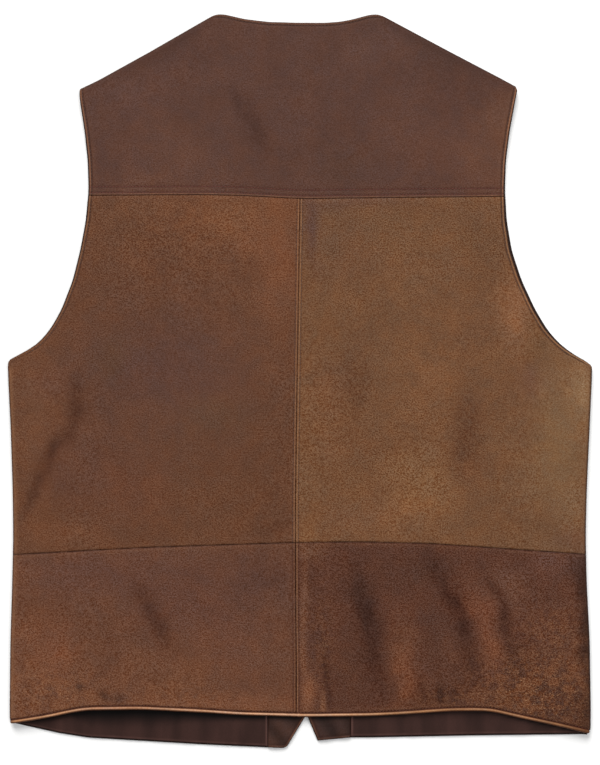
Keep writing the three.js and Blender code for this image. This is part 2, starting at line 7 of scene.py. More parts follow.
import bpy
import numpy as np
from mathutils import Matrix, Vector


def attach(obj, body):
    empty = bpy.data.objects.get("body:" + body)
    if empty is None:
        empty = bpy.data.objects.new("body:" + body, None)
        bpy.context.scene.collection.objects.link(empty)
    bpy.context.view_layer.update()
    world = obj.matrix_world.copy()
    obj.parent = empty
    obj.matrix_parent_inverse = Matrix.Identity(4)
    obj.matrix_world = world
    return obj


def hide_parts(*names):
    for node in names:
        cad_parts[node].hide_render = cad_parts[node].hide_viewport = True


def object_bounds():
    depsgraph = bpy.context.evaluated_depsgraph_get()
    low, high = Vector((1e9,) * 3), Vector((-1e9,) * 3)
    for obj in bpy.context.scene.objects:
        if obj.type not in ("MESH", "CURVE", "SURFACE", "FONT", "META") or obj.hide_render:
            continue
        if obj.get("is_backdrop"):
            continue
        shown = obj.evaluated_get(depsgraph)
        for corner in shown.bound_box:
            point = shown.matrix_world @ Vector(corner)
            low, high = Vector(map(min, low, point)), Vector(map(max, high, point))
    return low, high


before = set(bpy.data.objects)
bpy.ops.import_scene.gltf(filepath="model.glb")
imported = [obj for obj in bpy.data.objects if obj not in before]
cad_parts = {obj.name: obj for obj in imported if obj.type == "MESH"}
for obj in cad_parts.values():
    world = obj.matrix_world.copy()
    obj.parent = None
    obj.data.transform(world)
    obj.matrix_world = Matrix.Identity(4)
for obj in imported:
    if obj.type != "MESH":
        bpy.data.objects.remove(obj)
cad_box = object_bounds()

MM = 0.001

# Walls, seams and folds
BACK_LEATHER = 1.4
SKIVED = 0.85
FRONT_LEATHER = 1.2
LINING_CLOTH = 0.8
FACING_LEATHER = 1.1
LAYER_Z = 1.5
SEAM_HEIGHT = 3.6
SEAM_GAP = 0.08
FOLD_REACH = 6.0
FOLD_FADE = 10.0
FOLD_START = 4.0
FOLD_INSET = 7.5
UNDERARM = 15.0
UNDERARM_TURN = 20.5
CUT_AWAY_TOP = -314.2

# The back's outer face above the surface
REST_HEIGHT = 5.2
LOWEST_BACK = 4.7
HIGHEST_BACK = 7.9
SIDE_LOFT = {"rise": 2.0, "spread": 62.0, "fade": 50.0}
SHOULDER_LOFT = {"rise": 1.6, "spread": 40.0, "from": 58.0, "fade": 40.0}

# Mesh cells, and the hem's rolled edge
BACK_STEP = 2.4
FRONT_STEP = 6.0
LINING_STEP = 2.4
HEM_EDGE = {"across": 3.6, "deep": 2.8, "sides": 16, "tuck": 0.9}
HEM_ENDS = {"round": 2.0, "size": 0.3, "fade": 6.0}
HEM_LEVEL = -315.0

# The yoke laps over the panels below it
LAP = {"under": 8.0, "drop": 1.5, "ramp": 2.6, "pared": 0.7, "paring": 4.0}


def table(columns, *rows):
    """Columns of numbers under their names."""
    return dict(zip(columns.split(), np.array(rows, dtype=float).T))


SIDE_EDGE = table(
    "y left right",
    (-335, -272, 273.2),
    (-314, -273.4, 273.8),
    (-243, -272.6, 272.7),
    (-187, -270.8, 269.8),
    (-145, -269.9, 268.9),
    (-100, -270.5, 270),
    (-45, -272.3, 272.6),
    (0, -274.5, 274.6),
    (UNDERARM, -275, 275),
)
ARMHOLE_EDGE = table(
    "y left right left_peek right_peek",
    (UNDERARM, -275, 275, 0, 0),
    (UNDERARM_TURN, -274, 267.6, 0.2, 0.4),
    (26.5, -263.4, 257.2, 0.8, 1.2),
    (32, -253.2, 249.6, 1, 1.8),
    (38, -245.4, 242.8, 1.2, 2.2),
    (49, -235.8, 233.2, 1.2, 2.8),
    (68, -224.9, 221.8, 1.2, 3),
    (96, -214.2, 208.8, 1.2, 3),
    (124, -207.2, 199.6, 1.2, 2.8),
    (152, -202, 194.9, 1.2, 2.2),
    (181, -199.3, 193.2, 1, 1.4),
    (209, -200.2, 194.2, 1, 1),
    (237, -203.2, 197.8, 0.8, 0.8),
    (263, -207.2, 202.6, 0.6, 0.6),
    (271, -208.2, 204.2, 0.4, 0.4),
    (277, -207.4, 204.8, 0, 0),
)
TOP_EDGE = table(
    "x y",
    (-208, 275), (-189, 284.2), (-142, 310.2), (-80.5, 345.6), (-71.5, 345.7), (-52, 341.3),
    (-30, 338.6), (0, 337.8), (24, 337.8), (38, 338.8), (50, 341.2), (66, 345.4), (75.5, 345.7),
    (141, 310.7), (188, 286.1), (205, 276.8),
)
NECK_POINTS = {"left": -80.5, "right": 75.5}
SIDES = ("left", "right", "bottom", "top")
OUTWARD = {"left": -1, "right": 1}
OTHER_SIDE = {"left": "right", "right": "left"}
YOKE_SEAM = table(
    "x y", (-205, 175.4), (-94, 176.0), (-56, 175.3), (0, 172.2), (94, 173.4), (200, 174.4)
)
BAND_SEAM = table(
    "x y",
    (-272, -162.6), (-141, -155.7), (0, -151.2), (56, -150.5), (122, -152.1), (188, -156.6),
    (270, -162.2),
)
CENTRE_BACK = table(
    "y x",
    (-325, -3.7), (-262, -3.5), (-225, -4.1), (-110, -4.2), (-13, -2.9), (81, -1.4), (134, -0.6),
    (173, 0.1),
)
BACK_HEM = table(
    "x y",
    (-273, -319.6), (-259, -317.7), (-235, -313.7), (-216, -309.4), (-200, -306.9), (-150, -306.3),
    (-94, -309.2), (-56, -311.8), (5, -313.5), (66, -312.8), (86, -311.9), (112, -310.1),
    (141, -307.9), (166, -307.6), (180, -308.1), (207, -314.5), (245, -322.5), (273, -329.2),
)
FRONT_HEM = {
    "left": table(
        "x y",
        (-272, -321), (-226, -331.2), (-199, -335.4), (-141, -338.8), (-94, -341.6), (-30, -344.6),
        (-20, -345.2), (-15.2, -345.2), (-13.4, -344.5), (-11.6, -342.9),
    ),
    "right": table("x y", (16.6, -338.2), (49, -335.2), (66, -335.2), (160, -333.3), (272, -332.0)),
}
INNER_EDGE = {
    "left": table(
        "y x",
        (-343.3, -12), (CUT_AWAY_TOP, 5.8), (95, 5.8), (215, -40), (345.3, NECK_POINTS["left"]),
    ),
    "right": table(
        "y x",
        (-338.2, 16.6), (CUT_AWAY_TOP, 6.6), (95, 6.6), (215, 45), (345.3, NECK_POINTS["right"]),
    ),
}
FACING_WIDTH = {"left": 36.0, "right": 41.0}
FACING_WEAR = {"left": 1.0, "right": 0.5}
SOFT = {"top": 3, "yoke": 12, "band": 15, "hem": 8, "centre": 10, "front_hem": 2, "side": 12, "armhole": 4}
HEM_CORNER = {"left": {"top": -317.5, "cut": 2.0}, "right": {"top": -326.5, "cut": 3.0}, "high": 5.0}
SHOULDER_POINT = {"from": 274.0, "cut": 1.4, "high": 3.5}
SOFT_CORNER = 1.0
SOFT_FROM_CORNER = 40.0
SLANT_REACH = 4.0
EDGE_UNEVEN = 0.35
MEETING_TRIES = 24
LIMIT_SHARPNESS = 6
WAVES = {"slow": 0.22, "quick": 0.1}

# Creases: three points along each, its half width, its rise, and how much painted shade darkens the leather
# along it
CREASE_END = 0.35
CREASES = table(
    "x1 y1 x2 y2 x3 y3 wide rise shade",
    (-210, 4, -212, -28, -216, -54, 8, -1.6, 0.36),
    (-216, -50, -232, -61, -262, -134, 6, -1.8, 0.42),
    (-192, -14, -199, -62, -238, -118, 13, 0.8, 0),
    (-62, 272, -43, 242, -35, 214, 9, -1.2, 0.3),
    (-156, -184, -141, -216, -122, -254, 8, -1.5, 0.4),
    (-133, -190, -121, -218, -104, -246, 10, 0.6, 0),
    (52, -178, 62, -234, 77, -299, 10, -1.7, 0.42),
    (122, -164, 151, -214, 163, -288, 9.5, -1.6, 0.5),
    (172, -178, 191, -208, 199, -268, 5.5, -1, 0.42),
    (92, -214, 101, -258, 104, -300, 13, 0.9, 0),
    (160, -190, 181, -236, 189, -286, 9, 0.8, 0),
    (155, -18, 159, -50, 149, -98, 14, -0.9, 0.2),
    (49, 16, 54, -12, 46, -42, 13, -0.7, 0.15),
    (-46, -142, -24, -138, -8, -133, 4, -0.6, 0.16),
    (-150, -168, -143, -174, -136, -181, 4, -0.4, 0.08),
    (-192, -60, -176, -74, -166, -92, 8, -0.5, 0.06),
    (19.4, -286, 19.8, -298, 20, -311, 2.2, 0.7, 0),
    (21.2, -246, 24.2, -274, 25.4, -307, 3.4, -0.9, 0.6),
    (9.5, -152, 9, -168, 8.5, -200, 2.5, -0.3, 0.14),
    (113, -278, 115, -290, 117, -303, 4, -0.6, 0.42),
    (131, -284, 132, -294, 134, -303, 3.4, -0.6, 0.6),
    (145, -284, 147, -294, 149, -303, 3.6, -0.5, 0.4),
)
SWELLS = table(
    "x y wide long rise",
    (-170, -302, 66, 46, 1.7),
    (160, -302, 48, 46, 1.6),
    (204, 66, 26, 48, 1.2),
    (110, -96, 50, 70, 0.8),
    (-110, 90, 80, 90, 0.7),
    (-2, -40, 34, 190, -0.4),
)

# Across an edge, by distance from it: how the leather rises, how worn it is and how dark. The dark is painted
# shade at the edge and in ditches, and in the stitch grooves partly the stitch rows' own darkness, partly
# painted shade
TURNED_EDGE = table(
    "at rise wear dark",
    (0, -0.75, 0, 0.9),
    (0.3, -0.3, 0, 0.8),
    (0.8, 0, 0.2, 0.3),
    (1.2, 0.14, 1, 0),
    (1.7, 0.12, 0.8, 0),
    (2.2, -0.06, 0.1, 0.2),
    (2.7, -0.32, 0, 0.5),
    (3.1, -0.32, 0, 0.5),
    (3.6, -0.1, 0, 0.25),
    (4.4, 0.06, 0.1, 0.05),
    (6, 0.06, 0.05, 0),
    (8.5, 0, 0, 0),
)
SEAM_DITCH = table(
    "at rise wear dark",
    (0, -0.5, 0, 0.6),
    (0.35, -0.22, 0, 0.45),
    (0.8, 0, 0.3, 0.1),
    (1.15, 0.12, 1, 0),
    (1.55, 0.1, 0.8, 0),
    (2, -0.06, 0.1, 0.1),
    (2.6, -0.26, 0, 0.4),
    (3.1, -0.08, 0, 0.2),
    (4, 0.05, 0.05, 0.02),
    (6, 0, 0, 0),
)
PLAIN_DITCH = table(
    "at rise wear dark",
    (0, -0.55, 0, 0.6),
    (0.35, -0.3, 0, 0.45),
    (0.9, -0.08, 0, 0.15),
    (1.7, 0.05, 0.3, 0),
    (3, 0.06, 0.15, 0),
    (5, 0, 0, 0),
)
# At the lap, the dark at the edge is painted shade below the yoke's edge; the dark at 2.5 and 7.9 mm lies in
# the stitch rows
LAP_EDGE = table(
    "at rise wear dark",
    (0, -0.3, 0, 0.45),
    (0.4, -0.05, 0.1, 0.2),
    (0.8, 0.1, 0.7, 0),
    (1.3, 0.08, 0.6, 0),
    (1.8, -0.04, 0.1, 0.2),
    (2.5, -0.18, 0, 0.45),
    (3.2, -0.02, 0, 0.15),
    (4.5, 0.05, 0.05, 0),
    (6.6, 0.02, 0, 0.05),
    (7.4, -0.1, 0, 0.3),
    (7.9, -0.14, 0, 0.42),
    (8.4, -0.1, 0, 0.3),
    (9.5, 0, 0, 0),
)
HEM_EDGE_TURN = table(
    "at rise wear dark",
    (0, -0.7, 0, 0.9),
    (0.9, -0.4, 0, 0.9),
    (1.5, -0.26, 0, 0.85),
    (2, -0.06, 0, 0.4),
    (2.7, 0.08, 0.25, 0),
    (4, 0.06, 0.1, 0),
    (7, 0, 0, 0),
)
FACING_EDGE = table(
    "at rise wear dark",
    (0, -0.4, 0, 0.5),
    (0.35, -0.1, 0.3, 0.2),
    (0.8, 0.04, 1, 0),
    (1.6, 0.04, 0.8, 0),
    (2.1, -0.08, 0.1, 0.2),
    (2.8, -0.26, 0, 0.45),
    (3.6, -0.06, 0, 0.15),
    (5, 0, 0, 0),
)
LINING_EDGE = table(
    "at rise wear dark",
    (0, -0.4, 0, 0.6),
    (0.5, -0.1, 0, 0.3),
    (1.1, 0.02, 0.7, 0),
    (1.8, 0, 0.4, 0),
    (3, 0, 0, 0),
)
# Where an edge folds down: how worn it is and how dark. The dark is painted shade where the leather turns
# away from the light, deeper on the right side's fold and along the shoulders
FOLDED_EDGE = table(
    "at wear dark", (0, 0, 0.7), (0.9, 0, 0.3), (1.7, 0.5, 0.05), (2.8, 0.6, 0), (4.2, 0.25, 0), (6.5, 0, 0)
)
SHADED_FOLD = table(
    "at wear dark", (0, 0, 0.9), (0.9, 0, 0.75), (1.7, 0.2, 0.4), (2.8, 0.3, 0.12), (4.2, 0.1, 0), (6.5, 0, 0)
)
SHADED_SHOULDER_FOLD = table(
    "at wear dark", (0, 0, 0.9), (1, 0, 0.65), (2, 0, 0.45), (3.5, 0, 0.3), (5.5, 0, 0.18), (10, 0, 0)
)
NO_RELIEF = table("at rise wear dark", (0, 0, 0, 0), (1, 0, 0, 0))
FOLD_STATIONS = [FOLD_REACH * (1 - math.cos(turn * math.pi / 20)) for turn in range(11)]


def mix(a, b, share):
    return a + (b - a) * share


def smooth(value):
    share = np.clip(value, 0.0, 1.0)
    return share * share * (3 - 2 * share)


def bell(distance, spread):
    return np.exp(-((distance / spread) ** 2))


def round_over(share):
    return np.sqrt(1 - (1 - np.clip(share, 0.0, 1.0)) ** 2)


def line_through(rows, start, end, at):
    """A table as a line through its rows, going on straight past both ends."""
    known, wanted = rows[start], rows[end]
    at = np.asarray(at, dtype=float)
    index = np.clip(np.searchsorted(known, at), 1, len(known) - 1)
    share = (at - known[index - 1]) / (known[index] - known[index - 1])
    return mix(wanted[index - 1], wanted[index], share)


def curve_through(rows, start, end, at, reach):
    """The same line with its corners rounded off over a short reach."""
    samples = (-1, -0.6, -0.2, 0.2, 0.6, 1)
    return sum(line_through(rows, start, end, at + share * reach) for share in samples) / len(samples)


def curve(rows, reach, start="x", end="y"):
    return lambda at: curve_through(rows, start, end, at, reach)


top_edge = curve(TOP_EDGE, SOFT["top"])
yoke_seam = curve(YOKE_SEAM, SOFT["yoke"])
band_seam = curve(BAND_SEAM, SOFT["band"])
back_hem = curve(BACK_HEM, SOFT["hem"])
centre_back = curve(CENTRE_BACK, SOFT["centre"], "y", "x")


def front_hem(side):
    return curve(FRONT_HEM[side], SOFT["front_hem"])


def inner_edge(side):
    return lambda y: line_through(INNER_EDGE[side], "y", "x", y)


def facing_seam(side):
    """Beside the straight edge and the neck, and straight down past the cut-away point."""
    return lambda y: inner_edge(side)(np.maximum(y, CUT_AWAY_TOP)) + OUTWARD[side] * FACING_WIDTH[side]


def body_edge(side):
    corner = HEM_CORNER[side]

    def edge(y):
        y = np.asarray(y, dtype=float)
        from_corner = smooth(np.abs(y - UNDERARM) / SOFT_FROM_CORNER)
        below = curve_through(SIDE_EDGE, "y", side, y, SOFT["side"] * from_corner)
        above = curve_through(ARMHOLE_EDGE, "y", side, y, SOFT_CORNER + SOFT["armhole"] * from_corner)
        cut = corner["cut"] * smooth((corner["top"] - y) / HEM_CORNER["high"])
        point_cut = SHOULDER_POINT["cut"] * smooth((y - SHOULDER_POINT["from"]) / SHOULDER_POINT["high"])
        return np.where(y < UNDERARM, below - OUTWARD[side] * cut, above - OUTWARD[side] * point_cut)

    return edge


def back_edge(side):
    """The back's own edge lies inside the front's edge at the armholes."""

    def inset(y):
        peek = line_through(ARMHOLE_EDGE, "y", side + "_peek", np.maximum(y, UNDERARM))
        return body_edge(side)(y) - OUTWARD[side] * np.maximum(peek, 0)

    return inset


class Unevenness:
    """Smooth uneven values over the vest, the same at each run."""

    def __init__(self, cell, seed):
        self.cell = cell
        self.lattice = np.random.default_rng(seed).uniform(-1, 1, (64, 64))

    def __call__(self, x, y):
        across, along = x / self.cell, y / self.cell
        column, row = np.floor(across).astype(int), np.floor(along).astype(int)
        u, v = smooth(across - column), smooth(along - row)
        near = mix(self.at(row, column), self.at(row, column + 1), u)
        far = mix(self.at(row + 1, column), self.at(row + 1, column + 1), u)
        return mix(near, far, v)

    def at(self, row, column):
        rows, columns = self.lattice.shape
        return self.lattice[row % rows, column % columns]


slow_waves = Unevenness(54, seed=3)
quick_waves = Unevenness(19, seed=4)
blotches = Unevenness(26, seed=5)
small_blotches = Unevenness(9, seed=6)


def crease_strength(index, x, y):
    """How close a point lies to a crease, from 0 to 1. The crease fades towards both ends."""
    corners = [(CREASES[f"x{n}"][index], CREASES[f"y{n}"][index]) for n in (1, 2, 3)]
    nearest = np.full(np.shape(x), np.inf)
    along = np.zeros(np.shape(x))
    for part in range(2):
        (ax, ay), (bx, by) = corners[part], corners[part + 1]
        share = np.clip(
            ((x - ax) * (bx - ax) + (y - ay) * (by - ay)) / ((bx - ax) ** 2 + (by - ay) ** 2), 0, 1
        )
        distance = np.hypot(x - mix(ax, bx, share), y - mix(ay, by, share))
        closer = distance < nearest
        nearest = np.where(closer, distance, nearest)
        along = np.where(closer, (part + share) / 2, along)
    fullness = mix(CREASE_END, 1.0, np.sin(math.pi * along))
    return fullness * bell(nearest, CREASES["wide"][index])


def soft_limit(value, low, high):
    middle, half = (low + high) / 2, (high - low) / 2
    share = (value - middle) / half
    return middle + half * share / (1 + np.abs(share) ** LIMIT_SHARPNESS) ** (1 / LIMIT_SHARPNESS)


def back_height(x, y):
    """The height of the back's outer face, before its edges fold down."""
    low = np.minimum(y, UNDERARM)
    outer = np.where(x < 0, body_edge("left")(low), body_edge("right")(low))
    below_armhole = smooth((UNDERARM + FOLD_FADE - y) / SIDE_LOFT["fade"])
    to_shoulder = np.maximum(0, top_edge(x) - y)
    on_shoulder = smooth((np.abs(x) - SHOULDER_LOFT["from"]) / SHOULDER_LOFT["fade"])
    z = REST_HEIGHT + SIDE_LOFT["rise"] * below_armhole * bell(np.abs(outer - x), SIDE_LOFT["spread"])
    z = z + SHOULDER_LOFT["rise"] * on_shoulder * bell(to_shoulder, SHOULDER_LOFT["spread"])
    for cx, cy, wide, long, rise in zip(*SWELLS.values()):
        z = z + rise * bell(np.hypot((x - cx) / wide, (y - cy) / long), 1)
    for index, rise in enumerate(CREASES["rise"]):
        z = z + rise * crease_strength(index, x, y)
    z = z + WAVES["slow"] * slow_waves(x, y) + WAVES["quick"] * quick_waves(x, y)
    return soft_limit(z, LOWEST_BACK, HIGHEST_BACK)


def meeting_point(upright, crossing):
    y = crossing(upright(0.0))
    for _ in range(MEETING_TRIES):
        y = crossing(upright(y))
    return float(upright(y)), float(y)


def spread(outline):
    """A surface between four edges: u runs from left to right, v from bottom to top."""
    left, right, bottom, top = (outline[name] for name in SIDES)
    (blx, bly), (brx, bry) = meeting_point(left, bottom), meeting_point(right, bottom)
    (tlx, tly), (trx, try_) = meeting_point(left, top), meeting_point(right, top)

    def surface(u, v):
        bottom_x, top_x = mix(blx, brx, u), mix(tlx, trx, u)
        left_y, right_y = mix(bly, tly, v), mix(bry, try_, v)
        x = mix(left(left_y), right(right_y), u)
        y = mix(bottom(bottom_x), top(top_x), v)
        return x, y

    return surface


def shares(length, start, end, steps):
    """Shares of a length: the stations of both edges, and even steps between them."""
    length = np.asarray(length, dtype=float)[..., None]
    near = np.broadcast_to(start, length.shape[:-1] + np.shape(start)[-1:])
    far = length - np.asarray(end)[..., ::-1]
    even = mix(near[..., -1:], far[..., :1], np.arange(1, steps) / steps)
    return np.concatenate([near, even, far], axis=-1) / length


def slant(edge, y):
    """How much longer a level line to a side edge is than the line square to it."""
    slope = (edge(y + SLANT_REACH) - edge(y - SLANT_REACH)) / (2 * SLANT_REACH)
    return np.hypot(1, slope)


class Edge:
    """An edge of a panel: its relief by distance, where it folds down, and how worn and how dark it is, the
    dark partly the stitch rows' own and partly painted shade.
    """

    def __init__(self, relief=NO_RELIEF, folds=None, wear=1.0, dark=1.0, folded=FOLDED_EDGE, strength=None):
        self.relief = relief
        self.share = {"wear": wear, "dark": dark}
        self.folded = folded
        self.strength = strength or (lambda y: np.ones(np.shape(y)))
        self.folds = folds or (lambda x, y: np.zeros(np.shape(x)))
        stations = set(relief["at"]) | (set(FOLD_STATIONS) if folds else set())
        kept = []
        for place in sorted(stations):
            if not kept or place - kept[-1] > 0.12:
                kept.append(float(place))
        self.stations = kept if relief is not NO_RELIEF or folds else [0.0]

    def across(self, column, distance):
        return np.interp(distance, self.relief["at"], self.relief[column])


def side_folds(x, y):
    return smooth((UNDERARM + FOLD_START - y) / FOLD_FADE) + 0 * x


def shoulder_folds(x, y):
    past_neck = np.maximum(NECK_POINTS["left"] - x, x - NECK_POINTS["right"])
    return smooth(past_neck / FOLD_FADE + 0.4) + 0 * y


class Net:
    """Points laid over a surface, with their distances to its four edges."""

    def __init__(self, outline, edges, step):
        surface = spread(outline)

        def width_at(v):
            (ax, ay), (bx, by) = surface(0.0 * v, v), surface(0.0 * v + 1, v)
            return np.hypot(bx - ax, by - ay)

        def height_at(u):
            (ax, ay), (bx, by) = surface(u, 0.0 * u), surface(u, 0.0 * u + 1)
            return np.hypot(bx - ax, by - ay)

        ends = {name: edges[name].stations for name in SIDES}
        across = max(1, round(float(width_at(np.array([0, 0.5, 1.0])).max()) / step))
        along = max(1, round(float(height_at(np.array([0, 0.5, 1.0])).max()) / step))
        level = shares(height_at(np.array(0.5)), ends["bottom"], ends["top"], along)
        slants = {
            "left": slant(outline["left"], surface(0 * level, level)[1])[:, None],
            "right": slant(outline["right"], surface(0 * level + 1, level)[1])[:, None],
        }
        u = shares(width_at(level), slants["left"] * ends["left"], slants["right"] * ends["right"], across)
        rows = np.arange(len(level))
        v = shares(height_at(u), ends["bottom"], ends["top"], along)[rows, :, rows]
        self.edges = edges
        self.x, self.y = surface(u, v)
        self.distance = {
            "left": u * width_at(v) / slants["left"],
            "right": (1 - u) * width_at(v) / slants["right"],
            "bottom": v * height_at(u),
            "top": (1 - v) * height_at(u),
        }

    def fold_share(self):
        """How much of the height is left where the edges fold over to the seam."""
        share = np.ones(self.x.shape)
        for name in SIDES:
            weight = self.edges[name].folds(self.x, self.y)
            share = share * (1 - weight * (1 - round_over(self.distance[name] / FOLD_REACH)))
        return share

    def by_edge(self, column):
        """One value from each edge's table, uneven along the edge, where that edge lies flat."""
        uneven = 1 + EDGE_UNEVEN * small_blotches(1.3 * self.x, 1.3 * self.y)
        for name in SIDES:
            edge = self.edges[name]
            flat = (1 - edge.folds(self.x, self.y)) * edge.strength(self.y)
            yield flat * uneven * edge.across(column, self.distance[name])

    def by_fold(self, column):
        """One value from the table of folded edges, where an edge folds down."""
        for name in SIDES:
            edge = self.edges[name]
            across = np.interp(self.distance[name], edge.folded["at"], edge.folded[column])
            yield edge.folds(self.x, self.y) * across

    def relief(self):
        return sum(self.by_edge("rise"))

    def mark(self, column):
        """Wear, light where ridges and folds rub, or dark marks: dark stitch rows, and painted shade in
        ditches, at turned and folded edges and under the lap.
        """
        found = [*self.by_edge(column), *self.by_fold(column)]
        scaled = [self.edges[name].share[column] * value for name, value in zip(SIDES * 2, found)]
        return np.max(scaled, axis=0)

    def normals(self, z):
        """Upward normals. At a folded edge they lie level, so the wall ends square to the seam."""
        points = np.stack([self.x, self.y, z], axis=-1)
        normal = np.cross(np.gradient(points, axis=1), np.gradient(points, axis=0))
        normal /= np.linalg.norm(normal, axis=-1, keepdims=True)
        for name in SIDES:
            weight = self.edges[name].folds(self.x, self.y) * (self.distance[name] < 1e-6)
            normal[..., 2] *= 1 - weight
        return normal / np.linalg.norm(normal, axis=-1, keepdims=True)

    def marks(self, scuffed):
        """Wear, dark marks of stitch rows and painted shade, and scuffs at each point."""
        return np.stack([self.mark("wear"), self.mark("dark"), scuffed], axis=-1).reshape(-1, 3)


def make_piece(name, vertices, faces, materials, face_slots=None, smooth_angle=50):
    mesh = bpy.data.meshes.new(name)
    mesh.from_pydata((np.asarray(vertices) * MM).tolist(), [], faces)
    for material in materials:
        mesh.materials.append(material)
    if face_slots is not None:
        mesh.polygons.foreach_set("material_index", face_slots)
    mesh.polygons.foreach_set("use_smooth", [True] * len(mesh.polygons))
    mesh.set_sharp_from_angle(angle=math.radians(smooth_angle))
    piece = bpy.data.objects.new(name, mesh)
    bpy.context.scene.collection.objects.link(piece)
    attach(piece, "root")
    return piece


def wall_faces(rows, columns):
    """Quads of a closed wall between an upper and a lower net; the lower side's count comes with them."""
    index = np.arange(rows * columns).reshape(rows, columns)
    under = index + rows * columns
    a, b, c, d = index[:-1, :-1], index[:-1, 1:], index[1:, 1:], index[1:, :-1]
    upper = np.stack([a, b, c, d], axis=-1).reshape(-1, 4)
    lower = np.stack([d, c, b, a], axis=-1).reshape(-1, 4) + rows * columns
    rims = []
    for top, low in (
        (index[0, :], under[0, :]),
        (index[:, -1], under[:, -1]),
        (index[-1, ::-1], under[-1, ::-1]),
        (index[::-1, 0], under[::-1, 0]),
    ):
        rims.append(np.stack([low[:-1], low[1:], top[1:], top[:-1]], axis=-1))
    faces = np.concatenate([upper, lower, *rims])
    is_lower = np.zeros(len(faces), dtype=int)
    is_lower[len(upper) : len(upper) + len(lower)] = 1
    return faces.tolist(), is_lower


def make_wall(name, upper, lower, materials):
    """A closed wall between two nets. Its last material is the lower side's."""
    faces, is_lower = wall_faces(*upper.shape[:2])
    vertices = np.concatenate([upper.reshape(-1, 3), lower.reshape(-1, 3)])
    return make_piece(name, vertices, faces, materials, is_lower * (len(materials) - 1))


def tube_faces(base, rings, sides):
    """Faces round a tube of rings, and over both its ends."""
    faces = []
    for ring in range(rings - 1):
        low = base + ring * sides
        for number in range(sides):
            after = (number + 1) % sides
            faces.append((low + number, low + after, low + sides + after, low + sides + number))
    faces.append(tuple(base + number for number in reversed(range(sides))))
    faces.append(tuple(base + (rings - 1) * sides + number for number in range(sides)))
    return faces


def srgb(code):
    """A colour from its six-digit code, as light."""
    values = np.array([int(code[start : start + 2], 16) for start in (0, 2, 4)]) / 255
    return np.where(values <= 0.04045, values / 12.92, ((values + 0.055) / 1.055) ** 2.4)


# Soft patches of colour: place, half width and half length, colour, strength, and a turn in degrees
YOKE_PATCHES = (
    (179, 218, 26, 42, "6b4837", 0.45),
    (127, 223, 42, 24, "68463a", 0.4),
    (-150, 275, 38, 24, "6b4b43", 0.25, 30),
    (188, 246, 18, 22, "74503e", 0.4),
    (-118, 218, 38, 33, "664539", 0.4),
    # These two dark strips along the shoulders are painted shade where the shoulder folds turn away from the
    # light
    (122, 317, 60, 14, "46312b", 0.6, -28),
    (-126, 315, 50, 9, "4a312a", 0.5, 29),
    (42, 204, 33, 19, "4f382f", 0.35),
    (80, 308, 33, 19, "5f453f", 0.4),
    (-141, 185, 50, 10, "6a483a", 0.4),
)
LEFT_PATCHES = (
    (-70, 157, 56, 19, "7f5236", 0.6),
    (-19, 112, 17, 56, "7f5138", 0.5),
    (-160, 162, 42, 19, "6a4834", 0.4),
    (-120, 12, 74, 62, "5a3e38", 0.75),
    (-190, 30, 30, 30, "62443a", 0.5),
    (-172, -6, 26, 26, "543a34", 0.5),
    # Dark patch along a crease trough: painted shade
    (-232, -86, 16, 22, "5c3e34", 0.45),
    (-179, 20, 14, 24, "56402f", 0.4),
    (-249, -55, 19, 85, "7a5138", 0.35),
    (-80, -36, 28, 19, "5a4535", 0.3),
    (-203, -76, 45, 44, "5f4038", 0.4),
    (-160, -102, 38, 33, "6f4634", 0.4),
    (-55, -106, 26, 19, "62402d", 0.35),
    (-234, 0, 18, 16, "5e4038", 0.4),
    (-38, 132, 20, 16, "86563c", 0.4),
    (-226, -144, 33, 11, "7b4e34", 0.5),
    (-198, 77, 28, 47, "64412f", 0.45),
)
RIGHT_PATCHES = (
    # Partly the leather's lighter colour, partly a painted highlight on the ridge beside the right armhole
    (200, 66, 16, 30, "926649", 0.7, 10),
    (226, 32, 9, 28, "684a32", 0.55, -6),
    (245, -55, 26, 75, "80654a", 0.6),
    (216, 2, 15, 15, "65483f", 0.5),
    (44, 128, 24, 36, "66493a", 0.4),
    (262, -120, 11, 22, "8a6b50", 0.3),
    (258, -148, 20, 12, "6a4a3c", 0.5),
    (267, -4, 10, 30, "9e7e5e", 0.5),
    # Dark patch along a crease trough: painted shade
    (155, -45, 14, 42, "5c4032", 0.4),
    (54, 6, 17, 33, "644634", 0.4),
    (32, 0, 20, 22, "624434", 0.45),
    (98, -118, 26, 16, "986640", 0.5),
    (122, 2, 24, 30, "8c5f3e", 0.4),
    (138, -100, 24, 22, "8f6644", 0.3),
    (176, 118, 22, 26, "60432f", 0.5),
    (70, -76, 20, 28, "6a462f", 0.5),
    (157, -90, 14, 22, "6e452e", 0.4),
    (4, -140, 8, 12, "94653f", 0.5),
    (114, -94, 36, 30, "855f40", 0.5),
    (10, 146, 11, 36, "583e3a", 0.75),
    (50, 167, 62, 9, "60443a", 0.6),
    (28, -45, 19, 56, "7a5238", 0.4),
    (169, 157, 28, 14, "6a4a38", 0.3),
    (122, 115, 47, 38, "76543c", 0.4),
    (47, -130, 47, 19, "805840", 0.3),
    (160, 49, 28, 19, "6a4a36", 0.3),
)
LEFT_BAND_PATCHES = (
    (-175, -180, 90, 24, "62423a", 0.55),
    (-226, -290, 56, 28, "7c5038", 0.5),
    (-232, -255, 18, 22, "8a563c", 0.5),
    (-66, -243, 38, 38, "70483a", 0.3),
    (-204, -286, 4, 4, "38221b", 0.75),
    (-183, -295, 5, 6, "3e2820", 0.7),
    (-170, -299, 6, 5, "3e2820", 0.7),
    (-188, -273, 6, 5, "4a3028", 0.4),
    (-254, -243, 14, 56, "7a4e36", 0.4),
    (-113, -280, 38, 24, "7b5037", 0.4),
    (-36, -188, 40, 28, "563a33", 0.6),
    (-104, -210, 48, 30, "5c3c34", 0.5),
    (-50, -302, 80, 12, "80523a", 0.6),
)
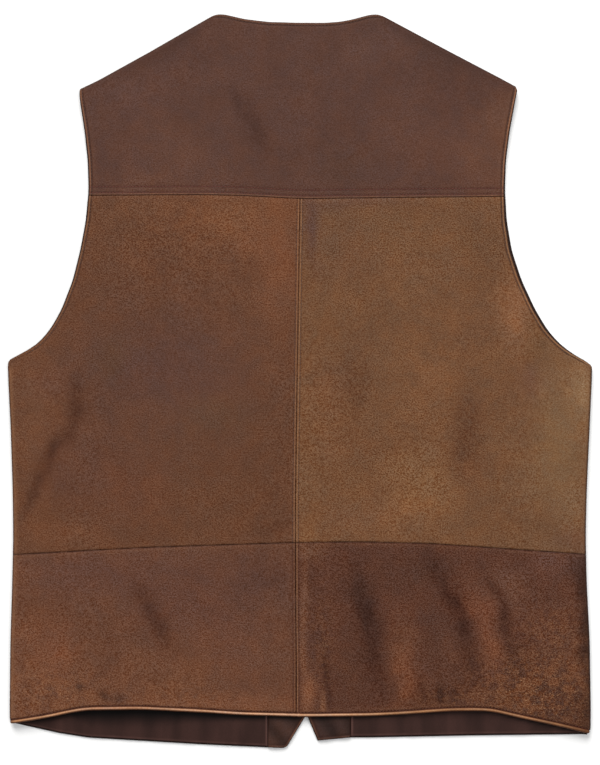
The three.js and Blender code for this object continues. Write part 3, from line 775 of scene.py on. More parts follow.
RIGHT_BAND_PATCHES = (
    (61, -215, 11, 33, "452e27", 0.7, 8),
    (44, -280, 14, 38, "5a3b2c", 0.35),
    (17, -252, 10, 18, "503630", 0.35),
    (94, -257, 15, 33, "7a4f38", 0.5, 4),
    (132, -243, 17, 50, "4e362d", 0.35, 12),
    (175, -237, 11, 38, "85523a", 0.6, 16),
    (98, -284, 13, 28, "7c4a31", 0.5, 4),
    (122, -172, 38, 13, "4c352e", 0.4),
    (246, -262, 24, 38, "6c4734", 0.5),
    (262, -172, 12, 12, "3a2722", 0.5),
    (214, -292, 42, 28, "5a3825", 0.6),
    (260, -294, 14, 30, "4e3020", 0.6),
    (226, -316, 34, 10, "523222", 0.5),
    (241, -172, 22, 14, "6e4c42", 0.5),
    # A dark strip along the right band's rolled side edge: painted shade where it turns away from the light
    (273, -250, 9, 120, "22120d", 0.95),
    (262, -262, 10, 24, "7a4c34", 0.5),
    (3, -235, 4, 80, "7c5440", 0.7),
    (4, -292, 7, 18, "8f5f45", 0.7),
    (8, -156, 14, 10, "7d5640", 0.6),
    (196, -196, 22, 18, "745040", 0.5),
    (136, -254, 12, 18, "6a4434", 0.4),
    (132, -303, 28, 10, "4c2c1b", 0.55),
    (207, -252, 6, 5, "402822", 0.55),
    (200, -272, 5, 6, "402822", 0.5),
    (227, -301, 6, 4, "402822", 0.6),
    (254, -312, 6, 4, "38231c", 0.6),
    (20.2, -302, 2.6, 10, "a27052", 0.6),
)

# Each panel's colour and patches, and how strong its grain is
PANELS = {
    "back_yoke": {"tone": "583c34", "patches": YOKE_PATCHES, "grain": 0.54},
    "back_left": {"tone": "664330", "patches": LEFT_PATCHES, "grain": 0.98},
    "back_right": {"tone": "725038", "patches": RIGHT_PATCHES, "grain": 0.97},
    "back_band_left": {"tone": "674434", "patches": LEFT_BAND_PATCHES, "grain": 1.02},
    "back_band_right": {"tone": "5b392c", "patches": RIGHT_BAND_PATCHES, "grain": 1.6},
}

# The dye lies a little deeper than the colours that show in full light and through the sheen
DYE = (0.79, 0.775, 0.745)

# The painted crease shade darkens green and blue more than red, and the edges of wide creases waver
CREASE_SHADE_TINT = (0.86, 1.06, 1.18)
CREASE_WAVER = 0.4

# How much stronger or weaker the grain is in soft patches
GRAIN_PATCHES = table(
    "x y wide long change",
    (-140, 145, 90, 45, 0.35),
    (-100, 5, 70, 70, -0.4),
    (-240, -50, 30, 110, -0.25),
    (110, 140, 100, 45, 0.25),
    (70, -75, 80, 60, 0.2),
    (245, -40, 40, 100, -0.45),
    (-190, -180, 90, 26, -0.1),
    (-210, -280, 60, 40, 0.25),
    (222, -285, 50, 45, 0.7),
)


# How uneven the grain and the tone are, in blotches and in small blotches, and how far patches stray
GRAIN_UNEVEN = (0.16, 0.08)
TONE_UNEVEN = (0.05, 0.03)
STRAY = (7, 3)
# How unevenly the painted crease shade is broken up
CREASE_SHADE_BROKEN = 0.3


def uneven(shares, x, y):
    return 1 + shares[0] * blotches(x, y) + shares[1] * small_blotches(x, y)


def grain_of(panel, x, y):
    """How strong the grain is over a panel."""
    level = np.full(x.shape, PANELS[panel]["grain"])
    for cx, cy, wide, long, change in zip(*GRAIN_PATCHES.values()):
        level = level + change * bell(np.hypot((x - cx) / wide, (y - cy) / long), 1)
    return level * uneven(GRAIN_UNEVEN, x, y)


def tone_of(panel, x, y):
    """The leather's colour over a panel, as light, with painted shade along the creases."""
    tone = np.broadcast_to(srgb(PANELS[panel]["tone"]), x.shape + (3,)).copy()
    shift_x, shift_y = uneven(STRAY, x, y) - 1, uneven(STRAY, y, x) - 1
    for cx, cy, wide, long, code, strength, *turn in PANELS[panel]["patches"]:
        angle = math.radians(turn[0]) if turn else 0.0
        waver = min(1.0, wide / 10)
        away_x, away_y = x + waver * shift_x - cx, y + waver * shift_y - cy
        across = away_x * math.cos(angle) + away_y * math.sin(angle)
        along = away_y * math.cos(angle) - away_x * math.sin(angle)
        weight = strength * bell(np.hypot(across / wide, along / long), 1)
        tone = mix(tone, srgb(code), weight[..., None])
    # Painted shade along the creases, then random blotches of tone
    shade = np.ones(x.shape)
    broken = 1 + CREASE_SHADE_BROKEN * small_blotches(1.2 * x, 0.7 * y)
    for index, darker in enumerate(CREASES["shade"]):
        if darker:
            waver = CREASE_WAVER * min(1.0, CREASES["wide"][index] / 10)
            near = crease_strength(index, x + waver * shift_x, y + waver * shift_y)
            shade *= 1 - darker * broken * near
    shade *= uneven(TONE_UNEVEN, x, y)
    return tone * shade[..., None] ** CREASE_SHADE_TINT


def node(tree, kind, inputs=None, **settings):
    """Adds a shader node, with its settings, and with its inputs set or linked."""
    made = tree.nodes.new("ShaderNode" + kind)
    for name, value in settings.items():
        setattr(made, name, value)
    for name, value in (inputs or {}).items():
        if isinstance(value, bpy.types.NodeSocket):
            tree.links.new(value, made.inputs[name])
        else:
            made.inputs[name].default_value = value
    return made


def math_node(tree, operation, *values, clamp=False):
    made = node(tree, "Math", dict(enumerate(values)), operation=operation, use_clamp=clamp)
    return made.outputs[0]


def ramp(tree, value, low, high, to_low=0.0, to_high=1.0):
    inputs = {"Value": value, "From Min": low, "From Max": high, "To Min": to_low, "To Max": to_high}
    return node(tree, "MapRange", inputs).outputs["Result"]


def blend_colour(tree, share, first, second):
    """Mixes two colours by a share. A plain colour is given by its code."""
    made = node(tree, "Mix", data_type="RGBA")
    for number, value in ((0, share), (6, first), (7, second)):
        if isinstance(value, bpy.types.NodeSocket):
            tree.links.new(value, made.inputs[number])
        else:
            made.inputs[number].default_value = (*srgb(value), 1)
    return made.outputs[2]


def place_in_mm(tree):
    place = node(tree, "TexCoord").outputs["Object"]
    return node(tree, "Mapping", {"Vector": place, "Scale": (1000, 1000, 1000)}).outputs[0]


def noise(tree, place, scale, detail=2.0, roughness=0.5):
    inputs = {"Vector": place, "Scale": scale, "Detail": detail, "Roughness": roughness}
    return node(tree, "TexNoise", inputs).outputs["Fac"]


def new_material(name):
    material = bpy.data.materials.new(name)
    material.use_nodes = True
    tree = material.node_tree
    tree.nodes.clear()
    shader = node(tree, "BsdfPrincipled")
    output = node(tree, "OutputMaterial")
    tree.links.new(shader.outputs[0], output.inputs[0])
    return material, tree, shader


def scale_colour(tree, colour, share):
    """A colour times a number."""
    return node(tree, "VectorMath", {0: colour, "Scale": share}, operation="SCALE").outputs[0]


def tint(tree, colour, by):
    return node(tree, "VectorMath", {0: colour, 1: by}, operation="MULTIPLY").outputs[0]


# The leather's grain: how many pebbles, fine folds and blotches lie along a millimetre, and how
# detailed and rough each is
GRAIN = {
    "pebbles": (0.74, 2, 0.5),
    "fine": (1.15, 2, 0.6),
    "mottle": (0.13, 3, 0.6),
    "cloud": (0.04, 4, 0.6),
    "warmth": (0.06, 4, 0.6),
    "specks": (0.5, 5, 0.75),
}
CELLS = {"scale": 0.7, "groove": 0.18, "bend_scale": 0.5, "bend": (1.4, 1.4, 1.4)}

# How much each of them lightens or darkens the leather, and how high it stands
GRAIN_BASE = 0.08
GRAIN_LIGHT = {"pebbles": 0.5, "groove": -0.14, "fine": 0.42, "mottle": 0.035, "cloud": 0.05}
GRAIN_RELIEF = {"groove": -0.7, "fine": 0.5, "high": 0.0001}
GRAIN_DARKS = (0.66, 0.405, 0.14)
GRAIN_LIGHTS = (1.34, 1.505, 1.63)
COOL = (0.95, 0.98, 1.04)
WARM = (1.06, 1.0, 0.92)
WORN = "a97b58"
# The colour that dark marks blend to: the stitch rows' own darkness, and painted shade in ditches, at turned
# and folded edges and under the lap
GRIME_AND_SHADE = "2a1006"

# Where cool leather turns warm, how specks break up worn edges, and how they change the roughness
WARMTH = (0.36, 0.64)
WORN_BY_SPECKS = (0.35, 0.6, 0.45, 1.0)
ROUGH_BY_SPECKS = {"from": 0.3, "to": 0.7, "less": 0.06, "more": 0.08}

# Where the finish is rubbed through: the blotches' noise and their edge, then each colour with the
# share of it that follows the blotches, or for the flecks the specks
RUBBED = {
    "blotches": (0.1, 6, 0.72),
    "edge": (0.42, 0.58),
    "bare": ("754a30", (0, 1, 0, 0.75)),
    "pitted": ("402a25", (0, 0.6, 0.55, 0)),
    "flecks": ("a87e5c", (0.56, 0.68, 0, 0.75)),
}


def evenly(tree, value, reach=0.2):
    """Spreads a noise's middle values from -1 to 1."""
    return ramp(tree, value, 0.5 - reach, 0.5 + reach, -1, 1)


def attribute(tree, name, output="Color"):
    return node(tree, "Attribute", attribute_name=name).outputs[output]


def add_up(tree, start, *pairs):
    """A number plus the products of pairs."""
    total = start
    for value, share in pairs:
        total = math_node(tree, "MULTIPLY_ADD", value, share, total)
    return total


def rub_through(tree, place, tone, scuff, specks):
    """The finish rubbed off in blotches: lighter where it is gone, pitted dark beside, with light flecks."""
    blotch = ramp(tree, noise(tree, place, *RUBBED["blotches"]), *RUBBED["edge"])
    for part, value in (("bare", blotch), ("pitted", blotch), ("flecks", specks)):
        code, follows = RUBBED[part]
        share = math_node(tree, "MULTIPLY", scuff, ramp(tree, value, *follows), clamp=True)
        tone = blend_colour(tree, share, tone, code)
    return tone


def leather(name, worn_colour=WORN, roughness=0.64):
    """Pebbled worn leather. Its colour, its marks and the strength of its grain come from the mesh."""
    material, tree, shader = new_material(name)
    place = place_in_mm(tree)
    wander = node(tree, "TexNoise", {"Vector": place, "Scale": CELLS["bend_scale"], "Detail": 1.0})
    bent = {0: wander.outputs["Color"], 1: CELLS["bend"], 2: place}
    bent = node(tree, "VectorMath", bent, operation="MULTIPLY_ADD").outputs[0]
    cells = {"Vector": bent, "Scale": CELLS["scale"]}
    cells = node(tree, "TexVoronoi", cells, feature="DISTANCE_TO_EDGE").outputs["Distance"]
    parts = {part: noise(tree, place, *values) for part, values in GRAIN.items()}
    specks, warmth = parts.pop("specks"), ramp(tree, parts.pop("warmth"), *WARMTH)
    parts = {part: evenly(tree, value) for part, value in parts.items()}
    parts["groove"] = ramp(tree, cells, 0.0, CELLS["groove"], 1.0, 0.0)
    lights = {part: (value, GRAIN_LIGHT[part]) for part, value in parts.items()}
    grainy = add_up(tree, GRAIN_BASE, lights["pebbles"], lights["groove"], lights["fine"])
    level = attribute(tree, "grain", "Fac")
    wear, grime_and_shade, scuff = node(tree, "SeparateColor", {"Color": attribute(tree, "marks")}).outputs
    tone = attribute(tree, "tone")
    tone = blend_colour(tree, warmth, tint(tree, tone, COOL), tint(tree, tone, WARM))
    tone = rub_through(tree, place, tone, scuff, specks)
    lightness = add_up(tree, 0.5, (grainy, level))
    tone = blend_colour(tree, lightness, tint(tree, tone, GRAIN_DARKS), tint(tree, tone, GRAIN_LIGHTS))
    worn = math_node(tree, "MULTIPLY", wear, ramp(tree, specks, *WORN_BY_SPECKS), clamp=True)
    tone = blend_colour(tree, worn, tone, worn_colour)
    # Dark marks blend the tone towards a near-black brown: painted shade in ditches, at edges and under the
    # lap, and dark stitch rows
    tone = blend_colour(tree, grime_and_shade, tone, GRIME_AND_SHADE)
    light = add_up(tree, 1.0, lights["mottle"], lights["cloud"])
    tree.links.new(scale_colour(tree, tone, light), shader.inputs["Base Color"])
    start, end, less, more = ROUGH_BY_SPECKS.values()
    rough = ramp(tree, specks, start, end, roughness - less, roughness + more)
    tree.links.new(rough, shader.inputs["Roughness"])
    shader.inputs["Specular IOR Level"].default_value = 0.12
    reliefs = [(parts[part], GRAIN_RELIEF[part]) for part in ("groove", "fine")]
    height = math_node(tree, "MULTIPLY", add_up(tree, parts["pebbles"], *reliefs), level)
    bump = node(tree, "Bump", {"Height": height, "Distance": GRAIN_RELIEF["high"]})
    tree.links.new(bump.outputs[0], shader.inputs["Normal"])
    return material


LINING_TONE = "3b2622"
LINING_WORN = "5a3e38"
# The colour that the lining's dark marks blend to: painted shade in the ditches along its edges
LINING_GRIME_AND_SHADE = "1a100e"


def lining_cloth(name):
    """Smooth woven lining with a faint twill and soft sheen. Its colour and marks come from the mesh."""
    material, tree, shader = new_material(name)
    place = place_in_mm(tree)
    threads = {"Vector": place, "Scale": 0.42, "Distortion": 0.4}
    twill = node(tree, "TexWave", threads, bands_direction="DIAGONAL").outputs["Fac"]
    stretched = tint(tree, place, (1.0, 0.25, 1.0))
    soft = evenly(tree, noise(tree, stretched, 0.11, detail=4))
    fine = evenly(tree, noise(tree, place, 0.9, detail=2))
    light = add_up(tree, 1.0, (soft, 0.16), (ramp(tree, twill, 0, 1, -1, 1), 0.05), (fine, 0.12))
    wear, grime_and_shade, _ = node(tree, "SeparateColor", {"Color": attribute(tree, "marks")}).outputs
    tone = blend_colour(tree, wear, attribute(tree, "tone"), LINING_WORN)
    # Dark marks on the lining: painted shade in the ditches along its edges
    tone = blend_colour(tree, grime_and_shade, tone, LINING_GRIME_AND_SHADE)
    tree.links.new(scale_colour(tree, tone, light), shader.inputs["Base Color"])
    shader.inputs["Roughness"].default_value = 0.62
    shader.inputs["Sheen Weight"].default_value = 0.02
    shader.inputs["Specular IOR Level"].default_value = 0.1
    bump = node(tree, "Bump", {"Height": twill, "Strength": 0.5, "Distance": 0.00005})
    tree.links.new(bump.outputs[0], shader.inputs["Normal"])
    return material


def thread(name, code):
    """Twisted sewing thread."""
    material, tree, shader = new_material(name)
    strands = {"Vector": place_in_mm(tree), "Scale": 1.6}
    strands = node(tree, "TexWave", strands, bands_direction="DIAGONAL").outputs["Fac"]
    light = ramp(tree, strands, 0, 1, 0.8, 1.15)
    tree.links.new(scale_colour(tree, tuple(srgb(code)), light), shader.inputs["Base Color"])
    shader.inputs["Roughness"].default_value = 0.7
    return material


BACK_FACE = leather("back_leather")
YOKE_FACE = leather("yoke_leather_face", worn_colour="94674b")
HEM_FACE = leather("hem_leather_face", roughness=0.5)
FACING_FACE = leather("facing_leather_face", worn_colour="64402f")
FRONT = leather("front_leather_face")
INSIDE = lining_cloth("lining_face")
THREAD = thread("brown_thread", "4a3025")
LAP_THREAD = thread("red_brown_thread", "5f2a1e")
DARK_THREAD = thread("dark_thread", "4e200c")
FACING_TONES = {"left": "402c27", "right": "392723"}
# The fronts' inside and edges are painted this dark colour as shade, where they show at the armholes and the
# hem
FRONT_SHADED_TONE = "2c1d17"
FRONT_OUTSIDE = ("523a30", "6b4735")


def paint(piece, tone, marks, grain):
    """Colour, marks (wear, dark marks of stitch rows and painted shade, scuffs) and strength of grain, for
    the materials to read.
    """
    for name, values in (("tone", tone * DYE), ("marks", marks), ("grain", np.reshape(grain, (-1, 1)))):
        layer = piece.data.color_attributes.new(name, "FLOAT_COLOR", "POINT")
        full = np.ones((len(tone), 4), dtype=np.float32)
        full[:, :3] = values
        layer.data.foreach_set("color", full.ravel())


# Distressed places: where the finish is rubbed through
SCUFFS = table(
    "x y wide long strength",
    (222, -292, 56, 40, 0.9),
    (236, -236, 34, 30, 0.45),
    (170, -300, 60, 18, 0.5),
    (-232, -292, 44, 26, 0.5),
    (-130, -296, 90, 14, 0.3),
    (20, -250, 12, 60, 0.35),
    (130, 20, 90, 130, 0.16),
    (-120, 150, 90, 50, 0.18),
)


def scuffs(x, y):
    total = np.zeros(x.shape)
    for cx, cy, wide, long, strength in zip(*SCUFFS.values()):
        total = np.maximum(total, strength * bell(np.hypot((x - cx) / wide, (y - cy) / long), 1))
    return total


def back_panel(node_name, slot, outline, edges, face, lap=None):
    """A back panel as a closed leather wall, lined inside. Its net keeps the outer face for the seams."""
    net = Net(outline, edges, BACK_STEP)
    x, y = net.x, net.y
    form = mix(SEAM_HEIGHT + SEAM_GAP / 2, back_height(x, y), net.fold_share())
    thickness = np.full(x.shape, BACK_LEATHER)
    if lap == "over":
        thickness = mix(LAP["pared"], BACK_LEATHER, smooth(net.distance["bottom"] / LAP["paring"]))
    if lap == "under":
        under = smooth((y - yoke_seam(x) + LAP["ramp"]) / (2 * LAP["ramp"]))
        form = form - LAP["drop"] * under
        thickness = mix(BACK_LEATHER, SKIVED, under)
    net.form = np.stack([x, y, form], axis=-1)
    net.up = net.normals(form)
    net.face = net.form + net.up * net.relief()[..., None]
    inner_face = net.form - net.up * thickness[..., None]
    piece = make_wall(f"{node_name}_leather", net.face, inner_face, [face, INSIDE])
    tone = tone_of(node_name, x, y).reshape(-1, 3)
    marks = net.marks(scuffs(x, y))
    lined = np.broadcast_to(srgb(LINING_TONE), tone.shape)
    grain = np.tile(grain_of(node_name, x, y).ravel(), 2)
    paint(piece, np.concatenate([tone, lined]), np.concatenate([marks, 0 * marks]), grain)
    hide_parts(node_name)
    return piece, net


def line_of(net, edge, distance, keep=None):
    """The outer face's points and normals along a line beside an edge, or the part that passes a test."""
    stations = np.array(net.edges[edge].stations)
    index = int(np.abs(stations - distance).argmin())
    pick = {
        "left": (slice(None), index),
        "right": (slice(None), -1 - index),
        "bottom": (index, slice(None)),
        "top": (-1 - index, slice(None)),
    }[edge]
    points, normals = net.face[pick], net.up[pick]
    kept = keep(points[:, 0], points[:, 1]) if keep else slice(None)
    return points[kept], normals[kept]


STITCH = {"pitch": 3.1, "long": 2.3, "wide": 0.62, "high": 0.3, "sides": 6, "arch": 0.1, "sunk": 0.05}

# Along a stitch, as shares of its length: where each ring lies, and its size
STITCH_RINGS = ((-0.5, 0.25), (-0.3, 1.0), (0.3, 1.0), (0.5, 0.25))

# How far from its edge each row of stitches lies, and how far it stays from what it would cross
STITCH_AT = {"turned": 2.9, "seam": 2.6, "hem": 1.5, "lap": (2.5, 7.9)}
CLEAR_OF = {"neck": 3, "lap": 2, "underarm": 4}


def stitches(name, runs, material, slot):
    """Separate stitches along one or more lines, joined in one mesh."""
    vertices, faces = [], []
    sides = STITCH["sides"]
    turns = [2 * math.pi * number / sides for number in range(sides)]
    for points, normals in runs:
        steps = np.linalg.norm(np.diff(points, axis=0), axis=1)
        travelled = np.concatenate([[0], np.cumsum(steps)])

        def at(values, distance):
            return np.array([np.interp(distance, travelled, values[:, axis]) for axis in range(3)])

        for number in range(int(travelled[-1] / STITCH["pitch"])):
            middle = (number + 0.5) * STITCH["pitch"]
            place, up = at(points, middle), at(normals, middle)
            along = at(points, middle + 0.5) - place
            along /= np.linalg.norm(along)
            up -= along * np.dot(up, along)
            up /= np.linalg.norm(up)
            across = np.cross(up, along)
            faces += tube_faces(len(vertices), len(STITCH_RINGS), sides)
            for offset, size in STITCH_RINGS:
                height = STITCH["arch"] * size - STITCH["sunk"]
                centre = place + along * offset * STITCH["long"] + up * height
                for turn in turns:
                    wide, high = math.cos(turn) * STITCH["wide"] / 2, math.sin(turn) * STITCH["high"]
                    vertices.append(centre + size * (across * wide + up * high))
    piece = make_piece(name, vertices, faces, [material])
    return piece


SIDE_WEAR = {"left": 0.4, "right": 0.5}
BAND_SIDE_WEAR = {"left": 0.4, "right": 0.1}
# The right side's fold is given deeper painted shade, as it turns away from the light
SIDE_FOLD = {"left": FOLDED_EDGE, "right": SHADED_FOLD}
SEAM_WEAR = {"left": 0.45, "right": 0.42}
SEAM_DARK = 0.55
BAND_SEAM_WEAR = {"left": 0.12, "right": 0.45}
ARMHOLE_STRENGTH = {"left": 0.3, "right": 1.0}


def by_side(side, outer, inner):
    return {"left": outer, "right": inner} if side == "left" else {"left": inner, "right": outer}


def armhole_strength(side):
    """The left armhole's turned edge lies flatter towards the underarm."""
    least = ARMHOLE_STRENGTH[side]
    return lambda y: mix(least, 1.0, smooth((y - UNDERARM) / 90))


def turned_side(side, wear):
    return Edge(
        TURNED_EDGE, side_folds, wear=wear[side], folded=SIDE_FOLD[side], strength=armhole_strength(side)
    )


def centre_seam(side):
    return lambda y: centre_back(y) + OUTWARD[side] * SEAM_GAP / 2


def build_yoke():
    outline = {"left": back_edge("left"), "right": back_edge("right"), "bottom": yoke_seam, "top": top_edge}
    edges = {
        "left": Edge(TURNED_EDGE, wear=0.6),
        "right": Edge(TURNED_EDGE, wear=0.85),
        "bottom": Edge(LAP_EDGE, wear=0.45),
        "top": Edge(TURNED_EDGE, shoulder_folds, wear=0.3, folded=SHADED_SHOULDER_FOLD),
    }
    piece, net = back_panel("back_yoke", "yoke_leather", outline, edges, YOKE_FACE, lap="over")

    def on_neck(x, y):
        away = CLEAR_OF["neck"]
        return (x > NECK_POINTS["left"] + away) & (x < NECK_POINTS["right"] - away)

    rows = [
        line_of(net, "left", STITCH_AT["turned"]),
        line_of(net, "right", STITCH_AT["turned"]),
        line_of(net, "top", STITCH_AT["turned"], on_neck),
    ]
    lap_rows = [line_of(net, "bottom", away) for away in STITCH_AT["lap"]]
    stitches("yoke_lap_stitches", lap_rows, LAP_THREAD, "yoke_leather")
    stitches("yoke_stitches", rows, THREAD, "yoke_leather")


def below_lap(x, y):
    return y < yoke_seam(x) - CLEAR_OF["lap"]


def beside_armhole(x, y):
    return below_lap(x, y) & (y > UNDERARM_TURN + CLEAR_OF["underarm"])


def build_centre_panel(side):
    outline = {
        **by_side(side, back_edge(side), centre_seam(side)),
        "bottom": lambda x: band_seam(x) + SEAM_GAP / 2,
        "top": lambda x: yoke_seam(x) + LAP["under"],
    }
    seam = Edge(SEAM_DITCH, wear=SEAM_WEAR[side], dark=SEAM_DARK)
    edges = {
        **by_side(side, turned_side(side, SIDE_WEAR), seam),
        "bottom": Edge(PLAIN_DITCH, wear=0.1),
        "top": Edge(),
    }
    name, slot = f"back_{side}", f"{side}_panel_leather"
    piece, net = back_panel(name, slot, outline, edges, BACK_FACE, lap="under")
    runs = [
        line_of(net, OTHER_SIDE[side], STITCH_AT["seam"], below_lap),
        line_of(net, side, STITCH_AT["turned"], beside_armhole),
    ]
    stitches(f"{name}_stitches", runs, THREAD, slot)


def build_band(side):
    """A lower band, with its stitches, and its net for the rolled hem."""
    outline = {
        **by_side(side, back_edge(side), centre_seam(side)),
        "bottom": lambda x: back_hem(x) + HEM_EDGE["across"] / 2 - HEM_EDGE["tuck"],
        "top": lambda x: band_seam(x) - SEAM_GAP / 2,
    }
    edges = {
        **by_side(side, turned_side(side, BAND_SIDE_WEAR), Edge(SEAM_DITCH, wear=BAND_SEAM_WEAR[side])),
        "bottom": Edge(HEM_EDGE_TURN, wear=0.3),
        "top": Edge(PLAIN_DITCH, wear=0.2),
    }
    name, slot = f"back_band_{side}", f"{side}_band_leather"
    piece, net = back_panel(name, slot, outline, edges, BACK_FACE)
    runs = [
        line_of(net, OTHER_SIDE[side], STITCH_AT["seam"]),
        line_of(net, "bottom", STITCH_AT["hem"]),
    ]
    return piece, stitches(f"{name}_stitches", runs, DARK_THREAD, slot), net


# Lumps on the rolled hem, by distance from the centre seam
HEM_LUMPS = table("at wide rise", (2.6, 1.4, 0.22), (-2, 1.4, 0.22))

# Round the roll, by the cosine of the turn: where its rubbed crest ends on each side, and how softly. Only
# the roll's upper half gets the crest; the darker colour on its far side is partly painted shade
HEM_CREST = {"outer": 0.5, "outer_fade": 0.4, "inner": -0.62, "inner_fade": 0.26}

# The roll's colour where it isn't rubbed, partly painted shade on its side away from the light and below, at
# its two ends, and by x along its rubbed crest
HEM_UNRUBBED_AND_SHADED = "5a3522"
HEM_END = "6b4630"
HEM_TANS = {
    -250: "b48664",
    -237: "c49674",
    -184: "b88b72",
    -119: "b88e74",
    -50: "d8ac90",
    30: "d0a486",
    85: "b68a68",
    135: "9d7454",
    200: "a87c5c",
    252: "8a6244",
    268: "5f402c",
}


def build_hem_edge(nets):
    """The rolled tan edge along the back hem, with a lump on each side of the centre seam."""
    edge = np.concatenate([net.form[0] for net in nets])
    normal = np.concatenate([net.up[0] for net in nets])
    sides = HEM_EDGE["sides"]
    down = np.array([0.0, -1.0, 0.0])
    middle = edge - normal * BACK_LEATHER / 2 + down * (HEM_EDGE["across"] / 2 - HEM_EDGE["tuck"])
    from_seam = edge[:, 0] - centre_back(HEM_LEVEL)
    lumps = 1 + sum(rise * bell(from_seam - at, wide) for at, wide, rise in zip(*HEM_LUMPS.values()))
    lumps = lumps * (1 + 0.05 * small_blotches(edge[:, 0], edge[:, 1]))
    to_end = np.minimum(edge[:, 0] - edge[0, 0], edge[-1, 0] - edge[:, 0])
    lumps = lumps * mix(HEM_ENDS["size"], 1, round_over(to_end / HEM_ENDS["round"]))
    turn = np.arange(sides) / sides * 2 * math.pi
    flat = down * HEM_EDGE["across"] / 2 * np.cos(turn)[:, None]
    high = normal[:, None] * HEM_EDGE["deep"] / 2 * np.sin(turn)[:, None]
    vertices = (middle[:, None] + lumps[:, None, None] * (flat + high)).reshape(-1, 3)
    faces = [(first, *others[::-1]) for first, *others in tube_faces(0, len(middle), sides)]
    piece = make_piece("hem_rolled_edge", vertices, faces, [HEM_FACE], smooth_angle=60)
    outer, outer_fade, inner, inner_fade = HEM_CREST.values()
    crest = smooth((outer - np.cos(turn)) / outer_fade) * smooth((np.cos(turn) - inner) / inner_fade)
    worn = np.tile(crest * (np.sin(turn) > 0), len(middle))
    x = np.repeat(edge[:, 0], sides)
    tans = np.array([srgb(code) for code in HEM_TANS.values()])
    light_tan = np.stack([np.interp(x, list(HEM_TANS), tans[:, channel]) for channel in range(3)], axis=-1)
    light_tan = mix(srgb(HEM_END), light_tan, np.repeat(smooth(to_end / HEM_ENDS["fade"]), sides)[:, None])
    # Off the crest the roll takes the darker colour, partly painted shade
    tone = mix(srgb(HEM_UNRUBBED_AND_SHADED), light_tan, worn[:, None]) * (1 + 0.1 * small_blotches(x, 0 * x))[:, None]
    paint(piece, tone, 0, 0.3)
    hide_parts("hem_binding")
    return piece


def front_outside(net):
    """The fronts' outer face: blotchy worn leather, darker towards its edges, where it blends into the dark
    colour painted as shade on the fronts' inside and edges.
    """
    blotchy = smooth(0.5 + 0.4 * blotches(net.x, net.y) + 0.2 * small_blotches(net.x, net.y))
    tone = mix(*(srgb(code) for code in FRONT_OUTSIDE), blotchy[..., None])
    from_edge = np.minimum.reduce([net.distance[name] for name in SIDES])
    return mix(srgb(FRONT_SHADED_TONE), tone, smooth(from_edge / 16 - 0.4)[..., None])


def build_front(side):
    """A front's leather lies on its outer face and turns up to the seams at its folds."""
    outline = {
        **by_side(side, body_edge(side), inner_edge(side)),
        "bottom": front_hem(side),
        "top": top_edge,
    }
    rim = Edge(PLAIN_DITCH)
    edges = {
        **by_side(side, Edge(PLAIN_DITCH, side_folds), rim),
        "bottom": rim,
        "top": Edge(PLAIN_DITCH, shoulder_folds),
    }
    net = Net(outline, edges, FRONT_STEP)
    under = (SEAM_HEIGHT - SEAM_GAP / 2) * (1 - net.fold_share())
    lower = np.stack([net.x, net.y, under], axis=-1)
    thickness = FRONT_LEATHER + 0.6 * np.minimum(0, net.relief())
    upper = lower + net.normals(under) * thickness[..., None]
    piece = make_wall(f"front_{side}_leather", upper, lower, [FRONT])
    # The inside and the edges carry the dark painted-shade colour
    inside = np.broadcast_to(srgb(FRONT_SHADED_TONE), lower.shape)
    paint(piece, np.stack([inside, front_outside(net)]).reshape(-1, 3), 0, 0.7)
    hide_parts(f"front_{side}")


# Painted shadow: the fronts' lining and facing are darkened close under the back's hem, where its shadow
# falls
PAINTED_HEM_SHADOW_DEPTH = 0.05
PAINTED_HEM_SHADOW = table(
    "x start reach",
    (-270, 1.8, 4),
    (-216, 2, 6),
    (-196, 3, 20),
    (-145, 3, 20),
    (-94, 2.8, 11),
    (-47, 2.5, 6),
    (94, 1.8, 2.5),
    (270, 1.8, 2.5),
)


# Soft folds near the lower edge: upright on the lining, at a slant on the facing
LINING_FOLDS = {"high": 0.16, "long": 5.5, "slant": 0, "wander": 3, "stretch": 0.3, "from": -250, "fade": 40}
FACING_FOLDS = {"high": 0.34, "long": 4.2, "slant": 0.9, "wander": 2, "stretch": 1, "from": -290, "fade": 25}


def folds(shape, x, y):
    wander = shape["wander"] * blotches(x, shape["stretch"] * y)
    wave = np.sin((x + shape["slant"] * y) / shape["long"] + wander)
    return shape["high"] * wave * smooth((shape["from"] - y) / shape["fade"])


# What lies on the fronts: its stuff, thickness, material, tone, folds, and the size of its cut
LAYERS = {
    "lining": {
        "stuff": "cloth",
        "thick": LINING_CLOTH,
        "face": INSIDE,
        "tone": {"left": LINING_TONE, "right": LINING_TONE},
        "folds": LINING_FOLDS,
        "flat": (0.24, 0.665),
        "area": {"left": 0.118, "right": 0.108},
    },
    "facing": {
        "stuff": "leather",
        "thick": FACING_LEATHER,
        "face": FACING_FACE,
        "tone": FACING_TONES,
        "folds": FACING_FOLDS,
        "flat": (0.045, 0.69),
        "area": {"left": 0.0245, "right": 0.028},
    },
}
# Painted light and shade on the soft folds: the tone is lighter where a fold rises and darker where it sinks
FOLD_PAINTED_LIGHT = 0.9


